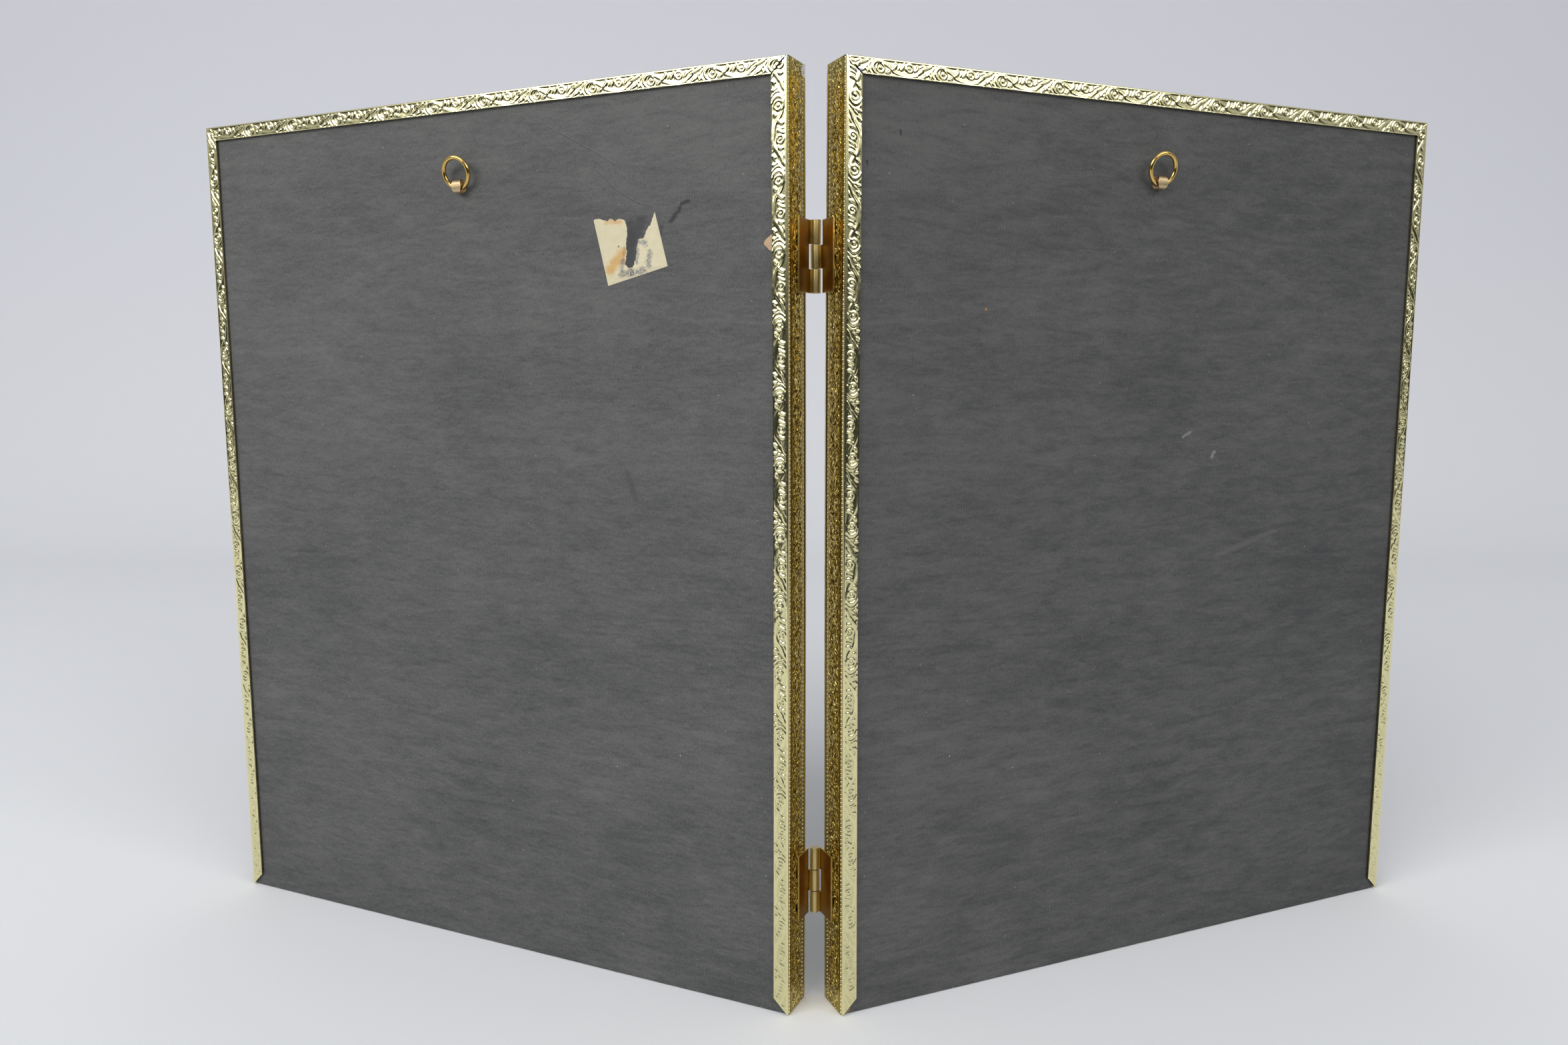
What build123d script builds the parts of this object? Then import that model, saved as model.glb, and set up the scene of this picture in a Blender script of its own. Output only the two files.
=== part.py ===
from build123d import *
import math
import os

# Hinged double photo frame: two stamped metal frames joined by two small butt hinges.
# A frame is drawn flat in axes of its own: X runs from its hinge side to its far side, Y runs from the
# rear flange to the front rim, and Z is up. The right frame is then turned about the hinge line, and the
# left frame is its mirror image.

# What the frame holds
PRINT_WIDTH = 203.2
PRINT_HEIGHT = 254.0
PRINT_THICKNESS = 0.3
PRINT_SIDE_PLAY = 1.0
PRINT_TOP_PLAY = 2.2
GLASS_THICKNESS = 2.0
GLASS_EDGE_PLAY = 0.3

# Stamped moulding
SHEET = 0.4
FRAME_DEPTH = 13.4
REAR_FLANGE = 4.5
BEND_RADIUS = 0.8
RIM_RADIUS = 2.0
FACE_WIDTH = 9.0
LIP_FLAT = 1.2
SCOOP_SAG = 0.9
MITRE_SLIT = 0.5
LEFT_SLIT_SHARE = 0.9
RIGHT_SLIT_SHARE = 0.5

# Backing board
BOARD_THICKNESS = 2.4
BOARD_REAR_PLAY = 0.45
BOARD_SIDE_PLAY = 0.4
BOARD_TOP_PLAY = 0.4

# Hanging ring and the folded strap that holds it
RING_RADIUS = 4.28
RING_WIRE = 1.25
RING_LEAN = 15.0
RING_PIVOT_DROP = 26.0
LEFT_RING_OFF_CENTRE = 0.5
RIGHT_RING_OFF_CENTRE = -4.0
STRIP = 0.35
STRAP_WIDTH = 3.4
EYE_INNER_RADIUS = 1.15
EYE_RISE = 0.9
STRAP_LEG = 6.0
STRAP_HOLE_PLAY = 0.1
LEG_PLAY = 0.3

# Butt hinges
OPEN_TURN = 23.5
HINGE_HEIGHT = 19.1
LOWER_HINGE_MARGIN = 25.1
UPPER_HINGE_MARGIN = 39.0
AXIS_FROM_WALL = 1.75
AXIS_FROM_RIM = 1.25
LEAF_THICKNESS = 0.5
LEAF_REACH = 8.3
KNUCKLE_RADIUS = 1.4
PIN_RADIUS = 0.65
PIN_PLAY = 0.05
NECK_REACH = 2.2
KNUCKLE_GAP = 0.2
KNUCKLE_CLEARANCE = 0.3
KNUCKLES = 3

# Torn paper label on the left board, and the scrap of card under the left flange
LABEL_PLACE = 35.4
LABEL_DROP = 36.1
LABEL_WIDTH = 23.3
LABEL_HEIGHT = 19.2
LABEL_THICKNESS = 0.15
LABEL_SHARES = [
    (1.00, 0.93), (0.89, 0.96), (0.83, 0.92), (0.72, 0.91), (0.66, 0.94), (0.59, 0.92), (0.55, 0.87),
    (0.57, 0.64), (0.55, 0.46), (0.58, 0.26), (0.47, 0.29), (0.42, 0.43), (0.40, 0.60), (0.31, 0.64),
    (0.28, 0.74), (0.19, 0.85), (0.16, 1.00), (0.10, 0.67), (0.00, 0.24), (0.45, 0.13), (0.82, 0.00),
]
SHIM_PLACE = 1.5
SHIM_DROP = 43.4
SHIM_WIDTH = 5.4
SHIM_HEIGHT = 5.6
SHIM_THICKNESS = 0.2
SHIM_SHARES = [(0.00, 0.00), (0.60, 0.13), (0.91, 0.40), (1.00, 0.50), (0.93, 0.64), (0.60, 0.90), (0.00, 1.00)]

# One overrun serves every cut
OVERRUN = 1.0

# Sizes that follow
FRAME_WIDTH = PRINT_WIDTH + 2 * (SHEET + PRINT_SIDE_PLAY)
FRAME_HEIGHT = PRINT_HEIGHT + 2 * SHEET + PRINT_TOP_PLAY
BOARD_REAR = SHEET + BOARD_REAR_PLAY
BOARD_FRONT = BOARD_REAR + BOARD_THICKNESS
PRINT_REAR = BOARD_FRONT + STRIP + LEG_PLAY
GLASS_REAR = PRINT_REAR + PRINT_THICKNESS
GLASS_FRONT = GLASS_REAR + GLASS_THICKNESS
LIP_FRONT = GLASS_FRONT + SHEET
RIM_TOP = FRAME_DEPTH - RIM_RADIUS
AXIS_DEPTH = FRAME_DEPTH + AXIS_FROM_RIM
RING_PIVOT_HEIGHT = FRAME_HEIGHT - RING_PIVOT_DROP
LEFT_RING_PLACE = FRAME_WIDTH / 2 + LEFT_RING_OFF_CENTRE
RIGHT_RING_PLACE = FRAME_WIDTH / 2 + RIGHT_RING_OFF_CENTRE
UPPER_HINGE_PLACE = FRAME_HEIGHT - UPPER_HINGE_MARGIN - HINGE_HEIGHT
LABEL_FOOT = FRAME_HEIGHT - LABEL_DROP - LABEL_HEIGHT
SHIM_FOOT = FRAME_HEIGHT - SHIM_DROP - SHIM_HEIGHT
EYE_OUTER_RADIUS = EYE_INNER_RADIUS + STRIP
EYE_DEPTH = BOARD_REAR - EYE_OUTER_RADIUS
STRAP_HOLE_HEIGHT = RING_PIVOT_HEIGHT + EYE_RISE / 2


def solid_plate(points, low, high):
    """A flat plate whose outline is given as X and Z places, from depth low to depth high."""
    outline = [Vector(x, low, z) for x, z in points]
    face = make_face(Polyline(*outline, close=True))
    return extrude(face, amount=high - low, dir=(0, 1, 0))


def box_between(x_span, y_span, z_span):
    """A box between two places on each axis."""
    size = [span[1] - span[0] for span in (x_span, y_span, z_span)]
    middle = [(span[0] + span[1]) / 2 for span in (x_span, y_span, z_span)]
    return Pos(*middle) * Box(*size)


def face_path():
    """The moulding's outer surface from its rim to its sight edge, in one plane."""
    rim = Vector(RIM_RADIUS, FRAME_DEPTH)
    seat = Vector(FACE_WIDTH - LIP_FLAT, LIP_FRONT)
    chord = seat - rim
    dip = Vector(chord.Y, -chord.X).normalized() * SCOOP_SAG
    scoop = ThreePointArc(rim, (rim + seat) / 2 + dip, seat)
    lip = Line(seat, (FACE_WIDTH, LIP_FRONT))
    return [scoop, lip]


def rim_path(foot):
    """The side wall from the depth foot, and the quarter-round rim in front of it."""
    wall = Line((0, foot), (0, RIM_TOP))
    rim = CenterArc((RIM_RADIUS, RIM_TOP), RIM_RADIUS, 180, -90)
    return [wall, rim]


def flange_path():
    """The rear flange and the bend into the side wall."""
    flange = Line((REAR_FLANGE, 0), (BEND_RADIUS, 0))
    bend = CenterArc((BEND_RADIUS, BEND_RADIUS), BEND_RADIUS, 270, -90)
    return [flange, bend]


def sheet_section(path):
    """A sheet-metal section, one sheet thick, on the pocket side of its outer surface."""
    line = Wire(path)
    band = offset(line, amount=SHEET, kind=Kind.INTERSECTION, side=Side.RIGHT, closed=True)
    return make_face(band)


def mitred_rail(section, length):
    """A length of moulding along Z with both ends cut at 45 degrees."""
    reach = FACE_WIDTH + OVERRUN
    outline = [(0, 0), (reach, reach), (reach, length - reach), (0, length)]
    keep = solid_plate(outline, -OVERRUN, FRAME_DEPTH + OVERRUN)
    return extrude(section, amount=length, dir=(0, 0, 1)) & keep


def mitre_slit(share):
    """The open slit along the rear flange's mitre at the top corner beside the hinges."""
    length = math.sqrt(2) * REAR_FLANGE * share
    reach = length / 2 / math.sqrt(2)
    middle = Pos(REAR_FLANGE - reach, 0, FRAME_HEIGHT - REAR_FLANGE + reach)
    return middle * Rot(0, 45, 0) * Box(length, 2 * (SHEET + BOARD_REAR_PLAY), MITRE_SLIT)


def rails(slit_share):
    """The four mitred rails of one frame."""
    full = sheet_section(flange_path() + rim_path(BEND_RADIUS) + face_path())
    open_backed = sheet_section(rim_path(PRINT_REAR) + face_path())
    inner = Plane((0, 0, 0), x_dir=(1, 0, 0), z_dir=(0, 0, 1))
    outer = Plane((FRAME_WIDTH, 0, FRAME_HEIGHT), x_dir=(-1, 0, 0), z_dir=(0, 0, -1))
    top = Plane((0, 0, FRAME_HEIGHT), x_dir=(0, 0, -1), z_dir=(1, 0, 0))
    bottom = Plane((FRAME_WIDTH, 0, 0), x_dir=(0, 0, 1), z_dir=(-1, 0, 0))
    slit = mitre_slit(slit_share)
    return {
        "inner_stile": inner.location * mitred_rail(full, FRAME_HEIGHT) - slit,
        "outer_stile": outer.location * mitred_rail(full, FRAME_HEIGHT),
        "top_rail": top.location * mitred_rail(full, FRAME_WIDTH) - slit,
        "bottom_rail": bottom.location * mitred_rail(open_backed, FRAME_WIDTH),
    }


def glass_pane():
    """The glass, standing on the bottom rail and seated against the lips."""
    side = SHEET + GLASS_EDGE_PLAY
    x_span = (side, FRAME_WIDTH - side)
    return box_between(x_span, (GLASS_REAR, GLASS_FRONT), (SHEET, FRAME_HEIGHT - side))


def print_sheet():
    """The blank print behind the glass."""
    side = SHEET + PRINT_SIDE_PLAY
    z_span = (SHEET, SHEET + PRINT_HEIGHT)
    return box_between((side, side + PRINT_WIDTH), (PRINT_REAR, GLASS_REAR), z_span)


def backing_board(ring_place):
    """The card backing board with the small hole for the strap's legs."""
    side = SHEET + BOARD_SIDE_PLAY
    top = FRAME_HEIGHT - SHEET - BOARD_TOP_PLAY
    board = box_between((side, FRAME_WIDTH - side), (BOARD_REAR, BOARD_FRONT), (0, top))
    half_width = STRAP_WIDTH / 2 + STRAP_HOLE_PLAY
    half_height = STRIP + STRAP_HOLE_PLAY
    x_span = (ring_place - half_width, ring_place + half_width)
    z_span = (STRAP_HOLE_HEIGHT - half_height, STRAP_HOLE_HEIGHT + half_height)
    return board - box_between(x_span, (BOARD_REAR - OVERRUN, BOARD_FRONT + OVERRUN), z_span)


def strap_eye(radius):
    """A long round-ended hole shape across the strap, standing upright."""
    profile = SlotCenterToCenter(EYE_RISE, 2 * radius, rotation=90)
    upright = Plane((0, EYE_DEPTH, STRAP_HOLE_HEIGHT), x_dir=(0, 1, 0), z_dir=(1, 0, 0))
    return upright.location * profile


def ring_strap(ring_place):
    """A metal strip folded round the ring, pushed through the board and spread behind it."""
    half = STRAP_WIDTH / 2
    eye_face = strap_eye(EYE_OUTER_RADIUS) - strap_eye(EYE_INNER_RADIUS)
    eye = Pos(ring_place - half, 0, 0) * extrude(eye_face, amount=STRAP_WIDTH, dir=(1, 0, 0))
    x_span = (ring_place - half, ring_place + half)
    stem_depth = (BOARD_REAR - STRIP, BOARD_FRONT + STRIP)
    stem = box_between(x_span, stem_depth, (STRAP_HOLE_HEIGHT - STRIP, STRAP_HOLE_HEIGHT + STRIP))
    leg_rise = (STRAP_HOLE_HEIGHT - STRAP_LEG, STRAP_HOLE_HEIGHT + STRAP_LEG)
    legs = box_between(x_span, (BOARD_FRONT, BOARD_FRONT + STRIP), leg_rise)
    return eye + stem + legs


def hang_ring(ring_place):
    """The wire ring, leaning out from the board on the wire that lies in the strap."""
    ring = Rot(90, 0, 0) * Torus(RING_RADIUS, RING_WIRE / 2)
    pivot = Pos(ring_place, EYE_DEPTH, RING_PIVOT_HEIGHT)
    return pivot * Rot(RING_LEAN, 0, 0) * Pos(0, 0, RING_RADIUS) * ring


def paper_label():
    """The torn rest of a paper label, pasted to the board."""
    points = [(LABEL_PLACE + LABEL_WIDTH * x, LABEL_FOOT + LABEL_HEIGHT * z) for x, z in LABEL_SHARES]
    return solid_plate(points, BOARD_REAR - LABEL_THICKNESS, BOARD_REAR)


def card_shim():
    """A torn scrap of card under the rear flange, lying against it."""
    points = [(SHIM_PLACE + SHIM_WIDTH * x, SHIM_FOOT + SHIM_HEIGHT * z) for x, z in SHIM_SHARES]
    return solid_plate(points, SHEET, SHEET + SHIM_THICKNESS)


def knuckle_spans(bottom, owned):
    """The lowest and highest place of each knuckle that a leaf owns."""
    pitch = HINGE_HEIGHT / KNUCKLES
    spans = []
    for index in owned:
        low = bottom + pitch * index + (KNUCKLE_GAP / 2 if index > 0 else 0)
        high = bottom + pitch * (index + 1) - (KNUCKLE_GAP / 2 if index < KNUCKLES - 1 else 0)
        spans.append((low, high))
    return spans


def leaf_section():
    """The plate of a leaf in plan, joggled in from the side wall to meet its knuckle."""
    wall_side = [(0, AXIS_DEPTH - LEAF_REACH), (0, AXIS_DEPTH - NECK_REACH)]
    joggle = KNUCKLE_RADIUS - AXIS_FROM_WALL
    knuckle_side = [(joggle, AXIS_DEPTH), (joggle - LEAF_THICKNESS, AXIS_DEPTH)]
    open_side = [(-LEAF_THICKNESS, AXIS_DEPTH - NECK_REACH), (-LEAF_THICKNESS, AXIS_DEPTH - LEAF_REACH)]
    return make_face(Polyline(*wall_side, *knuckle_side, *open_side, close=True))


def upright_cylinder(radius, low, high):
    """A cylinder about the hinge line between two heights."""
    return Pos(-AXIS_FROM_WALL, AXIS_DEPTH, (low + high) / 2) * Cylinder(radius, high - low)


def hinge_leaf(bottom, owned):
    """One leaf of a butt hinge: its plate, with its own knuckles rolled round the pin."""
    top = bottom + HINGE_HEIGHT
    leaf = Pos(0, 0, bottom) * extrude(leaf_section(), amount=HINGE_HEIGHT, dir=(0, 0, 1))
    spans = knuckle_spans(bottom, owned)
    others = [index for index in range(KNUCKLES) if index not in owned]
    cut_from = AXIS_DEPTH - KNUCKLE_RADIUS - KNUCKLE_CLEARANCE
    for low, high in knuckle_spans(bottom, others):
        low = low - KNUCKLE_GAP if low > bottom else low - OVERRUN
        high = high + KNUCKLE_GAP if high < top else high + OVERRUN
        notch = box_between((-AXIS_FROM_WALL - OVERRUN, OVERRUN), (cut_from, AXIS_DEPTH + OVERRUN), (low, high))
        leaf = leaf - notch
    for low, high in spans:
        leaf = leaf + upright_cylinder(KNUCKLE_RADIUS, low, high)
    return leaf - upright_cylinder(PIN_RADIUS + PIN_PLAY, bottom - OVERRUN, top + OVERRUN)


def hinge_pin(bottom):
    """The pin, as long as its hinge."""
    return upright_cylinder(PIN_RADIUS, bottom, bottom + HINGE_HEIGHT)


def depth_shift():
    """How far the hinge line stands from the middle of the open pair's depth."""
    turn = math.radians(OPEN_TURN)
    near = (AXIS_FROM_WALL + BEND_RADIUS) * math.sin(turn) - (AXIS_DEPTH - BEND_RADIUS) * math.cos(turn)
    far_width = AXIS_FROM_WALL + FRAME_WIDTH - RIM_RADIUS
    far = far_width * math.sin(turn) - (AXIS_DEPTH - RIM_TOP) * math.cos(turn)
    return -(near - BEND_RADIUS + far + RIM_RADIUS) / 2


def open_right(part):
    """Turn a piece of the right frame out to its standing place."""
    return Pos(0, depth_shift(), 0) * Rot(0, 0, OPEN_TURN) * Pos(AXIS_FROM_WALL, -AXIS_DEPTH, 0) * part


def open_left(part):
    """The same place on the left frame."""
    return mirror(open_right(part), about=Plane.YZ)


def frame_pieces(ring_place, slit_share):
    """Every piece that each of the two frames has, in the frame's own axes."""
    pieces = rails(slit_share)
    pieces["glass"] = glass_pane()
    pieces["print"] = print_sheet()
    pieces["backing_board"] = backing_board(ring_place)
    pieces["ring_strap"] = ring_strap(ring_place)
    pieces["hang_ring"] = hang_ring(ring_place)
    return pieces


def hinge_pieces():
    """The leaves and pins of both hinges, and the side of the pair that each belongs to."""
    ends = [0, KNUCKLES - 1]
    middle = list(range(1, KNUCKLES - 1))
    return {
        "upper_left_leaf": open_left(hinge_leaf(UPPER_HINGE_PLACE, ends)),
        "upper_right_leaf": open_right(hinge_leaf(UPPER_HINGE_PLACE, middle)),
        "upper_pin": open_left(hinge_pin(UPPER_HINGE_PLACE)),
        "lower_left_leaf": open_left(hinge_leaf(LOWER_HINGE_MARGIN, middle)),
        "lower_right_leaf": open_right(hinge_leaf(LOWER_HINGE_MARGIN, ends)),
        "lower_pin": open_left(hinge_pin(LOWER_HINGE_MARGIN)),
    }


def whole_part():
    """Every piece by its name, where it stands."""
    part = {}
    for name, piece in frame_pieces(LEFT_RING_PLACE, LEFT_SLIT_SHARE).items():
        part["left_" + name] = open_left(piece)
    for name, piece in frame_pieces(RIGHT_RING_PLACE, RIGHT_SLIT_SHARE).items():
        part["right_" + name] = open_right(piece)
    part["left_paper_label"] = open_left(paper_label())
    part["left_card_shim"] = open_left(card_shim())
    part.update(hinge_pieces())
    return part


os.makedirs("parts", exist_ok=True)
for node, shape in whole_part().items():
    export_step(shape, "parts/" + node + ".step")
    print(node, round(shape.volume, 3), shape.bounding_box())
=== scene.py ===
"""The looks of the hinged double photo frame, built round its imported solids.

Sizes in the classes are millimetres in one frame's own axes: x from its hinge-side wall to its far side,
y from its rear plane towards the picture side, and z up. They become metres in the shared axes when a
mesh is made.
"""

import logging
import math
from dataclasses import dataclass, field, replace
from enum import Enum
from typing import NamedTuple, Sequence

import bmesh
import bpy
import numpy as np
from mathutils import Matrix, Vector
from mathutils.geometry import tessellate_polygon


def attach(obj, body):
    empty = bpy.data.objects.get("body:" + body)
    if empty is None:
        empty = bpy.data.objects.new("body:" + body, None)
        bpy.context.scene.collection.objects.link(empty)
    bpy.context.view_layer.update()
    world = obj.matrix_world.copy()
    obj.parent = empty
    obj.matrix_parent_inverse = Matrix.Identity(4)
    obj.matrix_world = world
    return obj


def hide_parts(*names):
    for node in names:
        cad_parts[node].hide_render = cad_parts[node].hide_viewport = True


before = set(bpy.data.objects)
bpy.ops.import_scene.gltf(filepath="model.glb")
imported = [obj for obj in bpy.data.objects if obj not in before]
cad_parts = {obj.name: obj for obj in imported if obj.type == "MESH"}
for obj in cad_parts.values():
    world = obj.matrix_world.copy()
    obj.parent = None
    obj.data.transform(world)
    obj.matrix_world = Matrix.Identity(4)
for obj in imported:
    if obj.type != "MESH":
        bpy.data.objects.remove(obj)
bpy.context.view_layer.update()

log = logging.getLogger("double_photo_frame")

MM = 0.001
PER_METRE = 1000.0
FRAME_WIDTH = 206.0
FRAME_HEIGHT = 257.0
HALF_TURN = math.radians(23.5)
AXIS_FROM_WALL = 1.75
AXIS_DEPTH = 14.65
AXIS_Y = -34.28885189257158

Pair = tuple[float, float]
Triple = tuple[float, float, float]
Colour = Triple


class Side(Enum):
    """The two frames, as they lie in the photo."""

    LEFT = -1
    RIGHT = 1

    @property
    def word(self) -> str:
        """The side's name as the nodes have it."""
        return self.name.lower()


class RailPlace(Enum):
    """The four mouldings of one frame."""

    INNER_STILE = "inner_stile"
    OUTER_STILE = "outer_stile"
    TOP_RAIL = "top_rail"
    BOTTOM_RAIL = "bottom_rail"


class Zone(Enum):
    """The bands of the stamped strip, from the rear flange round to the sight edge."""

    FLANGE = 0
    BEND = 1
    WALL = 2
    RIM = 3
    SCOOP = 4
    LIP = 5


def in_shared_axes(side: Side, places: np.ndarray) -> np.ndarray:
    """Turns places in a frame's own axes into the shared axes.

    Args:
        side: The frame that the places belong to.
        places: Rows of x, y, z in millimetres.

    Returns:
        Rows of x, y, z in metres.
    """
    out = AXIS_FROM_WALL + places[:, 0]
    back = AXIS_DEPTH - places[:, 1]
    turned = np.empty_like(places, dtype=float)
    turned[:, 0] = side.value * (out * math.cos(HALF_TURN) + back * math.sin(HALF_TURN))
    turned[:, 1] = AXIS_Y + out * math.sin(HALF_TURN) - back * math.cos(HALF_TURN)
    turned[:, 2] = places[:, 2]
    return turned * MM


def along_board(side: Side) -> Triple:
    """The direction across a frame's back, away from the hinges, in the shared axes."""
    return (side.value * math.cos(HALF_TURN), math.sin(HALF_TURN), 0.0)


def board_start(side: Side) -> float:
    """How far along that direction, in metres, a frame's own x starts."""
    corner = in_shared_axes(side, np.array([[0.0, 0.0, 0.0]]))[0]
    return float(np.dot(corner, along_board(side)))


# Shader maths


class Reading:
    """A shader socket that can be used in sums, as if it were a number."""

    def __init__(self, bench: "Bench", socket: bpy.types.NodeSocket) -> None:
        """Keeps the socket with the node tree that it belongs to."""
        self.bench = bench
        self.socket = socket

    def _sum(self, operation: str, first: "Reading | float", second: "Reading | float") -> "Reading":
        """Adds one Math node and gives its result."""
        return self.bench.node("ShaderNodeMath", {"operation": operation}, {0: first, 1: second}).out("Value")

    def __add__(self, other: "Reading | float") -> "Reading":
        """This reading plus another."""
        return self._sum("ADD", self, other)

    __radd__ = __add__

    def __sub__(self, other: "Reading | float") -> "Reading":
        """This reading less another."""
        return self._sum("SUBTRACT", self, other)

    def __rsub__(self, other: "Reading | float") -> "Reading":
        """Another less this reading."""
        return self._sum("SUBTRACT", other, self)

    def __mul__(self, other: "Reading | float") -> "Reading":
        """This reading times another."""
        return self._sum("MULTIPLY", self, other)

    __rmul__ = __mul__

    def __truediv__(self, other: "Reading | float") -> "Reading":
        """This reading over another."""
        return self._sum("DIVIDE", self, other)

    def __pow__(self, other: "Reading | float") -> "Reading":
        """This reading to a power."""
        return self._sum("POWER", self, other)

    def larger(self, other: "Reading | float") -> "Reading":
        """The larger of this reading and another."""
        return self._sum("MAXIMUM", self, other)

    def smaller(self, other: "Reading | float") -> "Reading":
        """The smaller of this reading and another."""
        return self._sum("MINIMUM", self, other)

    def wave(self) -> "Reading":
        """The sine of this reading, in radians."""
        return self._sum("SINE", self, 0.0)

    def size(self) -> "Reading":
        """This reading without its sign."""
        return self._sum("ABSOLUTE", self, 0.0)

    def step(self, low: float, high: float) -> "Reading":
        """Goes smoothly from 0 at low to 1 at high.

        Args:
            low: Where it leaves 0.
            high: Where it reaches 1.

        Returns:
            The eased reading.
        """
        settings = {"interpolation_type": "SMOOTHSTEP", "clamp": True}
        links = {"Value": self, "From Min": low, "From Max": high, "To Min": 0.0, "To Max": 1.0}
        return self.bench.node("ShaderNodeMapRange", settings, links).out("Result")

    def spread(self, low: float, high: float) -> "Reading":
        """Spreads a reading from 0 to 1 over low to high."""
        return self * (high - low) + low


class BenchNode:
    """A node on the bench, with its outputs as readings."""

    def __init__(self, bench: "Bench", node: bpy.types.Node) -> None:
        """Keeps the node and its bench."""
        self.bench = bench
        self.node = node

    def out(self, name: str | int) -> Reading:
        """The named or numbered output as a reading."""
        return Reading(self.bench, self.node.outputs[name])


class Bench:
    """The one place where shader nodes are made and joined."""

    def __init__(self, tree: bpy.types.NodeTree) -> None:
        """Starts with an empty tree."""
        self.tree = tree
        tree.nodes.clear()

    def node(self, kind: str, settings: dict | None = None, links: dict | None = None) -> BenchNode:
        """Makes a node.

        Args:
            kind: The node's type.
            settings: Its own settings, set first. A ramp's stops are given as "stops".
            links: Values or readings for its sockets, by name or number.

        Returns:
            The node.
        """
        made = self.tree.nodes.new(kind)
        for name, value in (settings or {}).items():
            if name == "stops":
                self._set_stops(made, value)
            else:
                setattr(made, name, value)
        for name, value in (links or {}).items():
            self.join(made.inputs[name], value)
        return BenchNode(self, made)

    def _set_stops(self, ramp: bpy.types.Node, stops: Sequence[tuple[float, tuple]]) -> None:
        """Sets the stops of a colour ramp.

        Args:
            ramp: The ramp's node.
            stops: Places from 0 to 1 with their colours.
        """
        elements = ramp.color_ramp.elements
        while len(elements) < len(stops):
            elements.new(0.5)
        for element, (place, colour) in zip(elements, stops):
            element.position = place
            element.color = (*colour, 1.0)

    def join(self, socket: bpy.types.NodeSocket, value: object) -> None:
        """Links a reading to a socket, or sets its value.

        Args:
            socket: The socket that takes it.
            value: A reading, a number or a colour.
        """
        if isinstance(value, Reading):
            self.tree.links.new(value.socket, socket)
        elif isinstance(value, tuple) and len(value) == 3 and len(socket.default_value) == 4:
            socket.default_value = (*value, 1.0)
        else:
            socket.default_value = value

    def place(self) -> Reading:
        """The piece's own coordinates, in metres."""
        return self.node("ShaderNodeTexCoord").out("Object")

    def attribute(self, name: str) -> BenchNode:
        """A named attribute of the mesh."""
        return self.node("ShaderNodeAttribute", {"attribute_name": name})

    def across(self, place: Reading, direction: Sequence[float]) -> Reading:
        """How far a place lies along a direction."""
        links = {0: place, 1: tuple(direction)}
        return self.node("ShaderNodeVectorMath", {"operation": "DOT_PRODUCT"}, links).out("Value")

    def on_board(self, side: Side) -> tuple[Reading, Reading]:
        """How far a place lies across a frame's back and up it.

        Args:
            side: The frame.

        Returns:
            Its x and z in the frame's own axes, in millimetres.
        """
        place = self.place()
        x = (self.across(place, along_board(side)) - board_start(side)) * PER_METRE
        return x, self.across(place, (0.0, 0.0, PER_METRE))

    def vector(self, x: Reading | float, y: Reading | float, z: Reading | float) -> Reading:
        """Three readings as one vector."""
        return self.node("ShaderNodeCombineXYZ", None, {0: x, 1: y, 2: z}).out("Vector")

    def noise(self, place: Reading, scale: float, detail: float = 2.0, roughness: float = 0.5,
              distortion: float = 0.0) -> Reading:
        """Smooth noise from 0 to 1 at a place.

        Args:
            place: Where to read it.
            scale: How fine it is.
            detail: How many finer layers it has.
            roughness: How strong those are.
            distortion: How much it swirls.

        Returns:
            The noise.
        """
        links = {"Vector": place, "Scale": scale, "Detail": detail, "Roughness": roughness,
                 "Distortion": distortion}
        return self.node("ShaderNodeTexNoise", None, links).out("Fac")

    def blend(self, share: Reading | float, first: object, second: object) -> Reading:
        """Mixes two colours by a share.

        Args:
            share: 0 for the first colour and 1 for the second.
            first: A colour or a reading.
            second: A colour or a reading.

        Returns:
            The mixed colour.
        """
        mix = self.node("ShaderNodeMix", {"data_type": "RGBA"})
        self.join(mix.node.inputs[0], share)
        self.join(mix.node.inputs[6], first)
        self.join(mix.node.inputs[7], second)
        return mix.out(2)

    def away(self, x: Reading, z: Reading, start: Pair, end: Pair) -> Reading:
        """How far a place lies from a straight line between two places.

        Args:
            x: The place's x.
            z: The place's z.
            start: One end of the line.
            end: Its other end.

        Returns:
            The distance, in the unit of x and z.
        """
        run = (end[0] - start[0], end[1] - start[1])
        off_x = x - start[0]
        off_z = z - start[1]
        share = ((off_x * run[0] + off_z * run[1]) / (run[0] ** 2 + run[1] ** 2)).larger(0.0).smaller(1.0)
        gap_x = off_x - share * run[0]
        gap_z = off_z - share * run[1]
        return (gap_x * gap_x + gap_z * gap_z) ** 0.5

    def bump(self, height: Reading, distance: float, strength: float = 1.0,
             under: Reading | None = None) -> Reading:
        """A bump from a height from 0 to 1, as deep as distance in metres.

        Args:
            height: The height.
            distance: How deep it is, in metres.
            strength: How much it shows.
            under: A bump to lay it over.

        Returns:
            The bent normal.
        """
        links = {"Height": height, "Distance": distance, "Strength": strength}
        if under is not None:
            links["Normal"] = under
        return self.node("ShaderNodeBump", None, links).out("Normal")

    def surface(self, **sockets: object) -> None:
        """Ends the tree in one Principled shader.

        Args:
            **sockets: Its sockets, with underscores for the spaces in their names.
        """
        links = {name.replace("_", " "): value for name, value in sockets.items()}
        shader = self.node("ShaderNodeBsdfPrincipled", None, links)
        end = self.node("ShaderNodeOutputMaterial")
        self.tree.links.new(shader.node.outputs[0], end.node.inputs["Surface"])


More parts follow.
